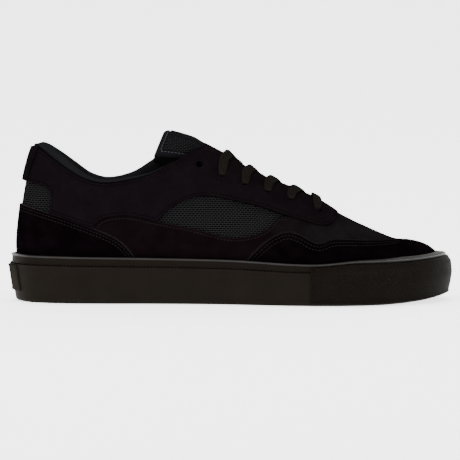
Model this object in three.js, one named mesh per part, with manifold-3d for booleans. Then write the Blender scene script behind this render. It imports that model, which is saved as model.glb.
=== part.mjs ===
import * as THREE from "three";
import { mergeVertices } from "three/addons/utils/BufferGeometryUtils.js";
import Module from "manifold-3d";

const wasm = await Module();
wasm.setup();

// A low-top skateboarding shoe for the right foot, standing empty on its sole.
// Millimetres. X runs from the heel to the toe, Y to the medial side, Z up from the floor.

// Driving dimensions of the last and the sole
const soleLength = 299;
const ballWidth = 105;
const heelWidth = 72;
const toeSpring = 4.5;
const springStart = 240;
const heelHeight = 105.5;
const instepHeight = 109;
const toeHeight = 39.8;

// Rubber parts
const soleThickness = 12;
const foxingHeelHeight = 32.5;
const foxingBallHeight = 28;
const foxingToeHeight = 28.5;
const foxingThickness = 4;
const outsoleInset = 6.6;
const foxingLift = 0.7;
const foxingHeelEnd = 48;
const foxingToeEnd = 60;
const bumperThickness = 1.4;
const bumperStart = 202;
const bumperTopDrop = 2.2;
const bumperBottom = 1.4;
const labelThickness = 1.4;
const labelWidth = 32;
const labelBottom = 7.5;
const labelTop = 25;
const treadDepth = 1.8;
const treadPitch = 14.5;
const treadGroove = 3.5;
const treadZigzag = 5;
const treadMargin = 6;
const treadBends = 6;

// Upper, overlays, lining, tongue and insole
const featherInset = 4.6;
const featherTuck = 3;
const tuckTop = 42;
const upperWall = 2.2;
const overlayThickness = 1.4;
const overlayHem = 3;
const vampThickness = 1;
const quarterThickness = 2.3;
const heelTabThickness = 2.8;
const heelTabWidth = 22;
const liningThickness = 5.5;
const liningDepth = 38;
const liningRise = 5;
const liningRoll = 0.8;
const liningReach = 112;
const tongueThickness = 7;
const tongueTop = 105.5;
const tongueFront = 226;
const tongueWidth = 50;
const tongueFrontWidth = 31;
const tongueShoulder = 0.55;
const tongueLean = 9.2;
const tongueDepth = 26;
const insoleThickness = 4.5;
const throatWidth = 28;
const throatFront = 213;
const throatEnd = 5;

// Lace
const laceWidth = 6.5;
const laceThickness = 1.6;
const eyeletLateral = 31;
const eyeletMedial = 26.5;
const eyeletTaper = 1.15;
const firstEyelet = 207;
const firstPitch = 18.4;
const eyeletPitch = 15.1;
const eyeletRows = 6;
const eyeletDiameter = 3.8;
const crossings = 4;
const laceEase = 0.7;
const laceTuck = 0.3;
const laceLean = 4;
const laceShoulder = 0.62;
const laceElbow = 0.84;

// Clearances
const gap = 0.3;
const seamGap = 0.35;

// Fineness of the curved solids, and the reach of the solids that only cut
const samplesPerSpan = 2;
const sectionLevels = 8;
const eyeletSides = 6;
const far = 400;

// The sole's outline from above, from the toe tip to the heel back. Along is a share of the sole's
// length from the heel, lateral and medial are shares of half the width that rules there.
const outline = [
  { along: 1.0, width: ballWidth, lateral: -0.16, medial: 0.16 },
  { along: 0.986, width: ballWidth, lateral: 0.19, medial: 0.44 },
  { along: 0.94, width: ballWidth, lateral: 0.55, medial: 0.7 },
  { along: 0.85, width: ballWidth, lateral: 0.86, medial: 0.87 },
  { along: 0.74, width: ballWidth, lateral: 1.0, medial: 0.97 },
  { along: 0.62, width: ballWidth, lateral: 0.96, medial: 0.91 },
  { along: 0.47, width: heelWidth, lateral: 1.1, medial: 0.94 },
  { along: 0.31, width: heelWidth, lateral: 1.0, medial: 0.93 },
  { along: 0.15, width: heelWidth, lateral: 0.965, medial: 0.955 },
  { along: 0.04, width: heelWidth, lateral: 0.66, medial: 0.66 },
  { along: 0.0, width: heelWidth, lateral: 0.0, medial: 0.0 },
];

// The ridge of the closed last: rise is a share of the way from the toe's height to the instep's,
// side is a share of the ball width towards the medial side.
const ridge = [
  { along: 0.13, rise: 1.33, side: 0 },
  { along: 0.25, rise: 1.25, side: 0 },
  { along: 0.34, rise: 1.15, side: 0.004 },
  { along: 0.415, rise: 1.06, side: 0.01 },
  { along: 0.44, rise: 1, side: 0.012 },
  { along: 0.494, rise: 0.853, side: 0.018 },
  { along: 0.532, rise: 0.735, side: 0.022 },
  { along: 0.575, rise: 0.63, side: 0.026 },
  { along: 0.66, rise: 0.467, side: 0.036 },
  { along: 0.702, rise: 0.375, side: 0.042 },
  { along: 0.742, rise: 0.265, side: 0.048 },
  { along: 0.783, rise: 0.176, side: 0.054 },
  { along: 0.82, rise: 0.1, side: 0.06 },
  { along: 0.85, rise: 0.045, side: 0.066 },
  { along: 0.876, rise: 0, side: 0.07 },
];

// Fullness of the last's sections: 2 is an ellipse, more is boxier.
const fullness = [
  { along: 0, power: 2.05 },
  { along: 0.12, power: 2.35 },
  { along: 0.4, power: 2.7 },
  { along: 0.8, power: 2.5 },
  { along: 1, power: 2.6 },
];

// The foxing's side: height is a share of its height, the others are insets from the outline at
// the sides, heel and toe, as shares of the foxing's thickness.
const foxingProfile = [
  { height: 0, side: 0.42, heel: 0.95, toe: 0.68 },
  { height: 0.5, side: 0.05, heel: 0.32, toe: 0 },
  { height: 0.79, side: 0, heel: 0, toe: 0.2 },
  { height: 0.81, side: 0.26, heel: 0.26, toe: 0.44 },
  { height: 0.95, side: 0.3, heel: 0.34, toe: 0.9 },
  { height: 1, side: 0.5, heel: 0.5, toe: 1.2 },
];

// The collar's edge from the side: shares of the length and of the heel's height. Roll is the share
// of the lining's rise that stands over it.
const collar = [
  { along: -0.02, lateral: 0.985, medial: 0.985, roll: 0.4 },
  { along: 0.06, lateral: 0.985, medial: 0.985, roll: 0.5 },
  { along: 0.073, lateral: 0.979, medial: 0.979, roll: 0.75 },
  { along: 0.106, lateral: 0.91, medial: 0.91, roll: 1 },
  { along: 0.142, lateral: 0.838, medial: 0.838, roll: 0.95 },
  { along: 0.178, lateral: 0.784, medial: 0.784, roll: 0.6 },
  { along: 0.221, lateral: 0.761, medial: 0.761, roll: 0.45 },
  { along: 0.275, lateral: 0.782, medial: 0.8, roll: 0.4 },
  { along: 0.316, lateral: 0.811, medial: 0.875, roll: 0.35 },
  { along: 0.343, lateral: 0.845, medial: 0.925, roll: 0.3 },
  { along: 0.374, lateral: 0.894, medial: 0.958, roll: 0.2 },
  { along: 0.412, lateral: 0.963, medial: 0.98, roll: 0.1 },
  { along: 0.4375, lateral: 0.99, medial: 0.99, roll: 0.1 },
];

// Edges of the overlays from the side: shares of the length and of the heel's height.
const counterEdge = [
  { along: -0.02, up: 0.64 },
  { along: 0.02, up: 0.627 },
  { along: 0.088, up: 0.578 },
  { along: 0.185, up: 0.487 },
  { along: 0.25, up: 0.404 },
  { along: 0.285, up: 0.3 },
  { along: 0.3, up: 0.2 },
];
const mudguardEdge = [
  { along: 0.525, up: 0.2 },
  { along: 0.537, up: 0.281 },
  { along: 0.561, up: 0.357 },
  { along: 0.588, up: 0.418 },
  { along: 0.62, up: 0.457 },
  { along: 0.65, up: 0.443 },
  { along: 0.69, up: 0.388 },
  { along: 0.725, up: 0.408 },
  { along: 0.79, up: 0.395 },
  { along: 0.865, up: 0.381 },
  { along: 0.89, up: 0.39 },
  { along: 0.905, up: 0.41 },
  { along: 0.915, up: 0.46 },
];
const sidePanelEdge = [
  { along: 0.185, up: 0.47 },
  { along: 0.213, up: 0.535 },
  { along: 0.245, up: 0.556 },
  { along: 0.281, up: 0.555 },
  { along: 0.336, up: 0.522 },
  { along: 0.4, up: 0.488 },
  { along: 0.445, up: 0.457 },
  { along: 0.488, up: 0.427 },
  { along: 0.52, up: 0.423 },
  { along: 0.558, up: 0.445 },
  { along: 0.586, up: 0.49 },
  { along: 0.605, up: 0.55 },
  { along: 0.622, up: 0.545 },
];
const quarterEdge = [
  { along: 0.336, up: 0.522 },
  { along: 0.368, up: 0.608 },
  { along: 0.4, up: 0.658 },
  { along: 0.435, up: 0.681 },
  { along: 0.472, up: 0.673 },
  { along: 0.518, up: 0.645 },
  { along: 0.562, up: 0.615 },
  { along: 0.605, up: 0.573 },
  { along: 0.651, up: 0.533 },
  { along: 0.689, up: 0.498 },
  { along: 0.709, up: 0.49 },
  { along: 0.727, up: 0.512 },
  { along: 0.74, up: 0.565 },
  { along: 0.74, up: 0.62 },
];
const heelWindow = [
  { along: -0.02, up: 0.785 },
  { along: 0.045, up: 0.765 },
  { along: 0.092, up: 0.728 },
  { along: 0.099, up: 0.66 },
  { along: 0.094, up: 0.56 },
];

// Parts of the sole with tread, as shares of the length. The waist between them is plain.
const treadPatches = [
  { from: 0.07, to: 0.3 },
  { from: 0.52, to: 0.93 },
];

// The throat from above: half its width as a share of the throat's width.
const throat = [
  { along: 0.3, half: 0.54 },
  { along: 0.437, half: 0.52 },
  { along: 0.56, half: 0.48 },
  { along: 0.65, half: 0.43 },
  { along: 0.7, half: 0.36 },
  { along: 0.728, half: 0.32 },
  { along: 0.8, half: 0.3 },
];

const up = new THREE.Vector3(0, 1, 0);

/** Smooth value of one column of a table at a share of the length. */
function read(table, column, along) {
  const last = table.length - 1;
  if (along <= table[0].along) {
    return table[0][column];
  }
  if (along >= table[last].along) {
    return table[last][column];
  }
  const i = table.findIndex((row) => row.along > along) - 1;
  const at = (k) => table[Math.min(Math.max(k, 0), last)];
  const slope = (k) => {
    const low = at(k - 1);
    const high = at(k + 1);
    return (high[column] - low[column]) / (high.along - low.along);
  };
  const step = at(i + 1).along - at(i).along;
  const u = (along - at(i).along) / step;
  const rise = at(i + 1)[column] - at(i)[column];
  const a = slope(i) * step - rise;
  const b = rise - slope(i + 1) * step;
  return at(i)[column] + u * rise + u * (1 - u) * (a * (1 - u) + b * u);
}

/** Place across of the ridge at x. */
function centreAt(x) {
  return read(ridge, "side", x / soleLength) * ballWidth;
}

/** Height that the toe spring adds at x. */
function lift(x) {
  const u = Math.max(0, (x - springStart) / (soleLength - springStart));
  return toeSpring * u * u;
}

/** Height of the foxing's top above its lifted bottom. */
function foxingHeight(x) {
  const rows = [
    { along: 0, height: foxingHeelHeight },
    { along: 0.5, height: (foxingHeelHeight + foxingBallHeight) / 2 },
    { along: 0.68, height: foxingBallHeight },
    { along: 0.79, height: (foxingHeelHeight + foxingBallHeight) / 2 },
    { along: 1, height: foxingToeHeight },
  ];
  return read(rows, "height", x / soleLength);
}

/** Solid of a geometry, from its positions alone. */
function solid(geometry) {
  const bare = geometry.clone();
  bare.deleteAttribute("normal");
  bare.deleteAttribute("uv");
  const merged = mergeVertices(bare, 1e-4);
  return new wasm.Manifold(
    new wasm.Mesh({
      numProp: 3,
      vertProperties: new Float32Array(merged.attributes.position.array),
      triVerts: new Uint32Array(merged.index.array),
    }),
  );
}

/** Geometry of a solid, for its mesh. */
function geometryOf(body) {
  const mesh = body.getMesh();
  const geometry = new THREE.BufferGeometry();
  geometry.setAttribute("position", new THREE.BufferAttribute(mesh.vertProperties, 3));
  geometry.setIndex(new THREE.BufferAttribute(mesh.triVerts, 1));
  geometry.computeVertexNormals();
  return geometry;
}

/** Points round the sole's outline, toe tip first, then lateral, heel back and medial. */
function outlineLoop() {
  const lateral = outline.map(
    (row) =>
      new THREE.Vector3(row.along * soleLength, (-row.lateral * row.width) / 2, 0),
  );
  const medial = outline
    .slice(1, -1)
    .map(
      (row) => new THREE.Vector3(row.along * soleLength, (row.medial * row.width) / 2, 0),
    )
    .reverse();
  const curve = new THREE.CatmullRomCurve3([...lateral, ...medial], true, "centripetal");
  const count = 2 * (outline.length - 1) * samplesPerSpan;
  return Array.from({ length: count }, (_, i) => curve.getPoint(i / count));
}

const loop = outlineLoop();
const loopCount = loop.length;
const halfCount = loopCount / 2;
const outward = loop.map((_, i) => {
  const before = loop[(i + loopCount - 1) % loopCount];
  const after = loop[(i + 1) % loopCount];
  const way = after.clone().sub(before).normalize();
  return new THREE.Vector3(way.y, -way.x, 0).negate();
});

/** The outline moved in by an inset that may differ from point to point. */
function inset(amount) {
  return loop.map((point, i) => {
    const depth = typeof amount === "function" ? amount(point.x) : amount;
    return point.clone().addScaledVector(outward[i], -depth);
  });
}

/** Triangles between two neighbouring rings of a list of vertices. */
function bandFaces(low, high, faces) {
  for (let i = 0; i < loopCount; i += 1) {
    const j = (i + 1) % loopCount;
    faces.push(low + i, high + j, low + j);
    faces.push(low + i, high + i, high + j);
  }
}

/** Triangles that close a ring straight across, from each lateral point to its medial partner. */
function capFaces(start, up, faces) {
  const partner = (i) => start + ((loopCount - i) % loopCount);
  for (let i = 0; i < halfCount; i += 1) {
    const quad = [start + i, start + i + 1, partner(i + 1), partner(i)];
    const corners = up ? quad.reverse() : quad;
    faces.push(corners[0], corners[1], corners[2]);
    faces.push(corners[0], corners[2], corners[3]);
  }
}

/** Geometry from vectors and faces. Faces that fold onto an edge are left out. */
function meshOf(points, faces) {
  const geometry = new THREE.BufferGeometry();
  geometry.setAttribute(
    "position",
    new THREE.Float32BufferAttribute(
      points.flatMap((p) => [p.x, p.y, p.z]),
      3,
    ),
  );
  geometry.setIndex(faces);
  const merged = mergeVertices(geometry, 1e-4);
  const source = Array.from(merged.index.array);
  const kept = [];
  for (let i = 0; i < source.length; i += 3) {
    const [a, b, c] = source.slice(i, i + 3);
    if (a !== b && b !== c && c !== a) {
      kept.push(a, b, c);
    }
  }
  merged.setIndex(kept);
  return merged;
}

/** Closed solid through rings that all have the outline's count of points. */
function loft(rings) {
  const faces = [];
  rings.slice(1).forEach((_, k) => bandFaces(k * loopCount, (k + 1) * loopCount, faces));
  capFaces(0, false, faces);
  capFaces((rings.length - 1) * loopCount, true, faces);
  return solid(meshOf(rings.flat(), faces));
}

/** Slab between two heights above the lifted floor, inside an inset of the outline. */
function slab(depth, low, high) {
  const ring = (height) =>
    inset(depth).map((p) => new THREE.Vector3(p.x, p.y, height + lift(p.x)));
  return loft([ring(low), ring(high)]);
}

// The last: rings from the feather line up to the ridge, as a share of each section's angle.
const featherHeight = soleThickness + gap;
const lastRings = [];
const ridgeFront = ridge[ridge.length - 1].along;
const ridgeBack = ridge[0].along;

/** Height of the ridge over x, level before and behind its ends. */
function ridgeHeight(x) {
  return toeHeight + read(ridge, "rise", x / soleLength) * (instepHeight - toeHeight);
}

/** Point of the ridge at a share of the sole's length. */
function ridgePoint(along) {
  const x = along * soleLength;
  return new THREE.Vector3(x, centreAt(x), ridgeHeight(x));
}

/** How far the last draws in towards the feather line at a height above it. */
function tuck(height) {
  const u = Math.min(1, Math.max(0, height / (tuckTop - featherHeight)));
  return featherTuck * (1 - u * u * (3 - 2 * u));
}

const foot = inset(featherInset);
for (let level = 0; level <= sectionLevels; level += 1) {
  const angle = (level / sectionLevels) * (Math.PI / 2);
  lastRings.push(
    foot.map((point, i) => {
      const partner = foot[(loopCount - i) % loopCount];
      const share = (point.x + partner.x) / (2 * soleLength);
      const top = ridgePoint(ridgeBack + share * (ridgeFront - ridgeBack));
      const power = read(fullness, "power", share);
      const reach =
        (Math.cos(angle) ** power + Math.sin(angle) ** power) ** (-1 / power);
      const out = level === sectionLevels ? 0 : reach * Math.cos(angle);
      const up = level === sectionLevels ? 1 : reach * Math.sin(angle);
      const spot = top.clone().lerp(point, out);
      const base = featherHeight + lift(spot.x);
      const height = up * (ridgeHeight(spot.x) - base);
      spot.z = base + height;
      return spot.addScaledVector(outward[i], -tuck(height) * out);
    }),
  );
}

/** Direction out of the last at a point of a ring, from its neighbours along and up. */
function normalAt(level, i) {
  const ring = lastRings[level];
  const above = lastRings[Math.min(level + 1, sectionLevels)][i];
  const below = lastRings[Math.max(level - 1, 0)][i];
  const along = ring[(i + 1) % loopCount].clone().sub(ring[(i + loopCount - 1) % loopCount]);
  return above.clone().sub(below).cross(along).normalize();
}

/** Direction out at a ridge point, shared by its lateral and medial partners. */
function ridgeNormalAt(i) {
  const step = Math.min(Math.max(i, 1), halfCount - 1);
  const lateral = normalAt(sectionLevels, step);
  return lateral.add(normalAt(sectionLevels, loopCount - step)).normalize();
}

const lastNormals = lastRings.map((ring, level) =>
  ring.map((_, i) =>
    level < sectionLevels ? normalAt(level, i) : ridgeNormalAt(Math.min(i, loopCount - i)),
  ),
);

/** The closed last grown by an offset, with its flat underside lowered by a drop. */
function last(offset, drop = 0) {
  const rings = lastRings.map((ring, k) =>
    ring.map((p, i) => p.clone().addScaledVector(lastNormals[k][i], offset)),
  );
  rings[0].forEach((p, i) => {
    p.z = lastRings[0][i].z;
  });
  if (drop > 0) {
    rings.unshift(rings[0].map((p) => new THREE.Vector3(p.x, p.y, p.z - drop)));
  }
  const top = rings[rings.length - 1];
  for (let i = 1; i < halfCount; i += 1) {
    top[loopCount - i].copy(top[i]);
  }
  const faces = [];
  rings.slice(1).forEach((_, k) => bandFaces(k * loopCount, (k + 1) * loopCount, faces));
  capFaces(0, false, faces);
  return solid(meshOf(rings.flat(), faces));
}

/** Points of a side-view edge, in millimetres, raised by a length that each row gives. */
function edge(table, column = "up", rise = () => 0) {
  return table.map(
    (row) => new THREE.Vector2(row.along * soleLength, row[column] * heelHeight + rise(row)),
  );
}

/** Outline moved outwards all round by a distance. */
function grow(points, distance) {
  const area = THREE.ShapeUtils.area(points);
  const turn = area > 0 ? 1 : -1;
  return points.map((p, i) => {
    const before = points[(i + points.length - 1) % points.length];
    const after = points[(i + 1) % points.length];
    const way = after.clone().sub(before).normalize();
    return new THREE.Vector2(p.x + turn * way.y * distance, p.y - turn * way.x * distance);
  });
}

/** Prism across the shoe, from a side-view outline, between two places across. */
function across(points, from = -far, to = far) {
  const geometry = new THREE.ExtrudeGeometry(new THREE.Shape(points), {
    depth: to - from,
    bevelEnabled: false,
  });
  geometry.rotateX(Math.PI / 2);
  geometry.translate(0, to, 0);
  return solid(geometry);
}

/** Prism straight up from a plan outline. */
function upright(points, low = -far, high = far) {
  const geometry = new THREE.ExtrudeGeometry(new THREE.Shape(points), {
    depth: high - low,
    bevelEnabled: false,
  });
  geometry.translate(0, 0, low);
  return solid(geometry);
}

const v2 = (x, y) => new THREE.Vector2(x, y);

/** Everything above the collar's edge, raised by a length for each row, on both sides. */
function collarCut(rise = () => 0) {
  const front = collar[collar.length - 1].along * soleLength;
  const start = collar[0].lateral * heelHeight + rise(collar[0]);
  const close = [v2(front + heelHeight / 3, far), v2(-far, far), v2(-far, start)];
  const lateral = across([...edge(collar, "lateral", rise), ...close], -far, 0);
  const medial = across([...edge(collar, "medial", rise), ...close], 0, far);
  return lateral.add(medial);
}

/** The throat from above, moved out by a length. It ends round at a front, or runs on without. */
function throatCut(extra = 0, front = 0) {
  const open = throat.filter((row) => !front || row.along * soleLength < front - throatEnd);
  const rows = open.map((row) => ({
    x: row.along * soleLength,
    half: row.half * throatWidth + extra,
    side: centreAt(row.along * soleLength),
  }));
  const tip = front ? [v2(front + extra, centreAt(front))] : [];
  const lateral = rows.map((row) => v2(row.x, row.side - row.half));
  const medial = rows.map((row) => v2(row.x, row.side + row.half)).reverse();
  return upright([...lateral, ...tip, ...medial], toeHeight);
}

const outerLast = last(0);
const upperCut = collarCut().add(throatCut(0, throatFront));
const flapCut = collarCut().add(throatCut());
const overEyestay = gap + quarterThickness;

/** Place along of an eyelet row, counted from the toe. */
function eyeletAt(row) {
  return firstEyelet - (row > 0 ? firstPitch + (row - 1) * eyeletPitch : 0);
}

/** Distance of a row's eyelet from the middle, towards one side. The rows draw in going up. */
function eyeletReach(side, row) {
  return side * ((side < 0 ? eyeletLateral : eyeletMedial) - row * eyeletTaper);
}

/** Place on a bed over a point seen from above, with the bed's direction out. */
function onBed(bed, x, y) {
  const ray = new THREE.Raycaster(new THREE.Vector3(x, y, far), new THREE.Vector3(0, 0, -1));
  const hit = ray.intersectObject(bed)[0];
  return { point: hit.point, normal: hit.face.normal.clone() };
}

/** Mesh of a solid, for finding places on it. */
function bedOf(body) {
  return new THREE.Mesh(geometryOf(body), new THREE.MeshBasicMaterial());
}

/** Punches through every layer at each eyelet, square to the last. */
function makeEyelets() {
  const bed = bedOf(outerLast);
  let holes = null;
  for (let row = 0; row < eyeletRows; row += 1) {
    for (const side of [-1, 1]) {
      const x = eyeletAt(row);
      const spot = onBed(bed, x, centreAt(x) + eyeletReach(side, row));
      const punch = new THREE.CylinderGeometry(
        eyeletDiameter / 2,
        eyeletDiameter / 2,
        4 * (upperWall + quarterThickness),
        eyeletSides,
      );
      const turn = new THREE.Quaternion().setFromUnitVectors(up, spot.normal);
      punch.applyQuaternion(turn).translate(spot.point.x, spot.point.y, spot.point.z);
      holes = holes ? holes.add(solid(punch)) : solid(punch);
    }
  }
  return holes;
}

const eyelets = makeEyelets();

/** The lasted upper: one wall, open at the collar, the throat and underneath. */
function makeUpper() {
  return outerLast
    .subtract(last(-upperWall, soleThickness))
    .subtract(upperCut)
    .subtract(eyelets);
}

/** A layer of a thickness round the last, from inside the foxing up to the collar and throat. */
function overlayLayer(thickness, opening) {
  return last(gap + thickness)
    .subtract(last(gap, soleThickness))
    .subtract(slab(-foxingThickness, -foxingThickness, featherHeight + overlayHem))
    .subtract(opening);
}

const counterShape = [
  ...edge(counterEdge),
  v2(counterEdge[counterEdge.length - 1].along * soleLength, -1),
  v2(-far, -1),
  v2(-far, counterEdge[0].up * heelHeight),
];
const mudguardShape = [
  ...edge(mudguardEdge),
  v2(mudguardEdge[mudguardEdge.length - 1].along * soleLength, far),
  v2(far, far),
  v2(far, -1),
  v2(mudguardEdge[0].along * soleLength, -1),
];
const vampShape = [
  ...edge(sidePanelEdge),
  v2(far, sidePanelEdge[sidePanelEdge.length - 1].up * heelHeight),
  v2(far, -1),
  v2(sidePanelEdge[0].along * soleLength, -1),
];
const quarterShape = [
  v2(heelWindow[heelWindow.length - 1].along * soleLength, counterEdge[3].up * heelHeight),
  ...edge(sidePanelEdge.slice(0, 5)).slice(0, -1),
  ...edge(quarterEdge),
  v2(quarterEdge[quarterEdge.length - 1].along * soleLength, far),
  v2(-far, far),
  v2(-far, heelWindow[0].up * heelHeight),
  ...edge(heelWindow),
];
const tabShape = [
  ...edge(heelWindow.slice(0, 3)),
  v2(heelWindow[2].along * soleLength, far),
  v2(-far, far),
  v2(-far, heelWindow[0].up * heelHeight),
];

const counterCut = across(grow(counterShape, seamGap));
const mudguardCut = across(grow(mudguardShape, seamGap));
const outerLayer = overlayLayer(overlayThickness, upperCut);

function makeHeelCounter() {
  return outerLayer.intersect(across(counterShape));
}

function makeToeMudguard() {
  return outerLayer.intersect(across(mudguardShape));
}

/** Vamp and both lower side panels in one, or its room where it is grown by a clearance. */
function makeVamp(clearance = 0) {
  return last(gap + vampThickness + clearance)
    .subtract(last(gap - clearance, soleThickness))
    .subtract(slab(-foxingThickness, -foxingThickness, featherHeight + overlayHem))
    .subtract(upperCut)
    .intersect(across(clearance ? grow(vampShape, clearance) : vampShape));
}

/** Strip down the middle of the heel's back, which covers the seam between the quarters. */
function makeHeelTab() {
  return last(gap + heelTabThickness)
    .subtract(last(gap))
    .subtract(collarCut())
    .intersect(across(tabShape, -heelTabWidth / 2, heelTabWidth / 2));
}

const half = { lateral: [-far, -seamGap / 2], medial: [seamGap / 2, far] };

/** Quarter with its eyestay, whose front end lies on the vamp. */
function makeQuarter(side) {
  const [from, to] = half[side];
  const tabRoom = heelTabWidth / 2 + seamGap;
  return overlayLayer(quarterThickness, flapCut)
    .intersect(across(quarterShape, from, to))
    .subtract(counterCut)
    .subtract(mudguardCut)
    .subtract(makeVamp(gap))
    .subtract(across(grow(tabShape, seamGap), -tabRoom, tabRoom))
    .subtract(eyelets);
}

/** The padded tongue, or its room where it is grown by a clearance. */
function makeTongue(clearance = 0) {
  const outer = last(-upperWall - gap + clearance);
  const inner = last(-upperWall - gap - tongueThickness - clearance);
  const back = tongueTop - clearance;
  const foot = back - tongueLean;
  const rows = [
    { x: foot, half: tongueWidth / 2 },
    { x: tongueShoulder * soleLength, half: tongueWidth / 2 },
    { x: tongueFront + clearance, half: tongueFrontWidth / 2 },
  ];
  const middle = (x) => centreAt(Math.max(x, tongueShoulder * soleLength));
  const lateral = rows.map((row) => v2(row.x, middle(row.x) - row.half - clearance));
  const medial = rows.map((row) => v2(row.x, middle(row.x) + row.half + clearance));
  const below = rows.map((row) => v2(row.x, ridgeHeight(row.x) - tongueDepth - clearance));
  const crest = v2(back, ridgeHeight(back));
  const profile = [v2(back, far), crest, ...below, v2(tongueFront + far, far)];
  return outer
    .subtract(inner)
    .intersect(upright([...lateral, ...medial.reverse()]))
    .intersect(across(profile));
}

/** The padded lining inside the collar, and its roll over the upper's edge. */
function makeCollarLining() {
  const inner = last(-upperWall - gap - liningThickness);
  const under = last(-upperWall - gap).subtract(collarCut(() => gap));
  const over = last(liningRoll).intersect(collarCut(() => gap));
  const depth = edge(collar, "lateral", () => -liningDepth);
  const band = [
    ...depth.filter((p) => p.x < liningReach),
    v2(liningReach, far),
    v2(-far, far),
    v2(-far, depth[0].y),
  ];
  return under
    .add(over)
    .add(last(-upperWall - gap).intersect(collarCut(() => -gap)))
    .subtract(inner)
    .intersect(across(band))
    .subtract(collarCut((row) => row.roll * liningRise))
    .subtract(makeTongue(gap));
}

/** The sock liner, on the sole inside the upper. */
function makeInsole() {
  const top = featherHeight + insoleThickness;
  return last(-upperWall - gap).intersect(slab(-foxingThickness, 0, top));
}

/** Ring of the foxing's side at a row of its profile, moved out by an amount. */
function foxingRing(row, out = 0) {
  const depth = (x) => {
    const heel = Math.max(0, 1 - x / foxingHeelEnd);
    const toe = Math.max(0, 1 - (soleLength - x) / foxingToeEnd);
    const side = 1 - heel - toe;
    const shares = side * row.side + heel * row.heel + toe * row.toe;
    return shares * foxingThickness - out;
  };
  return inset(depth).map((p) => {
    const height = foxingLift + row.height * (foxingHeight(p.x) - foxingLift);
    return new THREE.Vector3(p.x, p.y, height + lift(p.x));
  });
}

/** The rubber wall round the sole and the upper's lower edge. */
function makeFoxing() {
  const wall = loft(foxingProfile.map((row) => foxingRing(row)));
  return wall
    .subtract(last(2 * gap + overlayThickness))
    .subtract(slab(outsoleInset - gap, -1, soleThickness + 2 * gap));
}

/** Layer on the outside of the foxing, without its step. */
function rubberLayer(thickness) {
  const smooth = foxingProfile.filter((row) => row.height < 0.8 || row.height === 1);
  const cover = loft(smooth.map((row) => foxingRing(row, gap + thickness)));
  return cover.subtract(loft(foxingProfile.map((row) => foxingRing(row, gap))));
}

function makeToeBumper() {
  const reach = soleLength + foxingThickness;
  const levels = [0, 0.5, 1].map((u) => bumperStart + u * (reach - bumperStart));
  const low = levels.map((x) => v2(x, bumperBottom + lift(x)));
  const high = levels.map((x) => v2(x, foxingHeight(x) - bumperTopDrop + lift(x)));
  return rubberLayer(bumperThickness).intersect(across([...low, ...high.reverse()]));
}

function makeHeelLabel() {
  const depth = heelWidth / 3;
  const plate = [
    v2(-depth, labelBottom),
    v2(depth, labelBottom),
    v2(depth, labelTop),
    v2(-depth, labelTop),
  ];
  return rubberLayer(labelThickness).intersect(
    across(plate, -labelWidth / 2, labelWidth / 2),
  );
}

/** Zigzag groove across the tread at x. */
function treadGrooveAt(x) {
  const front = Array.from({ length: treadBends + 1 }, (_, i) =>
    v2(x + ((i % 2) - 0.5) * treadZigzag, (i / treadBends - 0.5) * ballWidth),
  );
  const back = front.map((p) => v2(p.x + treadGroove, p.y)).reverse();
  return upright([...front, ...back], -far, toeSpring + treadDepth);
}

/** The sole slab, with zigzag lugs inside a plain rim and a plain waist. */
function makeOutsole() {
  const body = slab(outsoleInset, 0, soleThickness);
  const relief = slab(outsoleInset + treadMargin, -1, treadDepth);
  let grooves = null;
  for (const patch of treadPatches) {
    for (let x = patch.from * soleLength; x < patch.to * soleLength; x += treadPitch) {
      const cut = treadGrooveAt(x);
      grooves = grooves ? grooves.add(cut) : cut;
    }
  }
  return body.subtract(relief.intersect(grooves));
}

// Laces
const laceMiddle = laceThickness / 2 + laceEase;
const laceBed = bedOf(last(overEyestay + laceMiddle));
const tongueBed = bedOf(last(laceMiddle - upperWall - gap));
const eyestayRoom = last(overEyestay + gap).subtract(throatCut(-gap, throatFront));
const laceKeepOut = eyestayRoom.add(last(-upperWall));

/** Flat strand through spots of a bed, lying on their directions out. */
function strand(spots) {
  const route = new THREE.CatmullRomCurve3(
    spots.map((spot) => spot.point),
    false,
    "centripetal",
  );
  const out = new THREE.CatmullRomCurve3(spots.map((spot) => spot.normal));
  const count = 2 * (spots.length - 1);
  const corners = [
    [-0.5, -0.5],
    [-0.5, 0.5],
    [0.5, 0.5],
    [0.5, -0.5],
  ];
  const vertices = [];
  const faces = [];
  for (let i = 0; i <= count; i += 1) {
    const way = route.getTangent(i / count);
    const side = out.getPoint(i / count).cross(way).normalize();
    const rise = way.clone().cross(side).normalize();
    for (const [a, b] of corners) {
      const point = route.getPoint(i / count).addScaledVector(side, a * laceWidth);
      vertices.push(point.addScaledVector(rise, b * laceThickness));
    }
  }
  const ring = corners.length;
  for (let i = 0; i < count; i += 1) {
    for (let k = 0; k < ring; k += 1) {
      const a = i * ring + k;
      const b = i * ring + ((k + 1) % ring);
      faces.push(a, b + ring, b, a, a + ring, b + ring);
    }
  }
  const end = count * ring;
  faces.push(0, 1, 2, 0, 2, 3, end, end + 2, end + 1, end, end + 3, end + 2);
  return solid(meshOf(vertices, faces));
}

/** Strand that leaves the throat's edge at one row and ends on the eyelet of the next. */
function crossingStrand(row, side) {
  const low = eyeletAt(row);
  const high = eyeletAt(row + 1);
  const reach = eyeletReach(side, row + 1);
  const tucked = -side * laceTuck * throatWidth;
  const middle = (low + high) / 2;
  return strand([
    onBed(tongueBed, low, centreAt(low) + tucked),
    onBed(tongueBed, middle, centreAt(middle)),
    onBed(laceBed, high + laceLean, centreAt(high) + laceShoulder * reach),
    onBed(laceBed, high + laceLean / 2, centreAt(high) + laceElbow * reach),
    onBed(laceBed, high, centreAt(high) + reach),
  ]);
}

function makeCrossing(row) {
  return crossingStrand(row, -1).add(crossingStrand(row, 1)).subtract(laceKeepOut);
}

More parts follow.
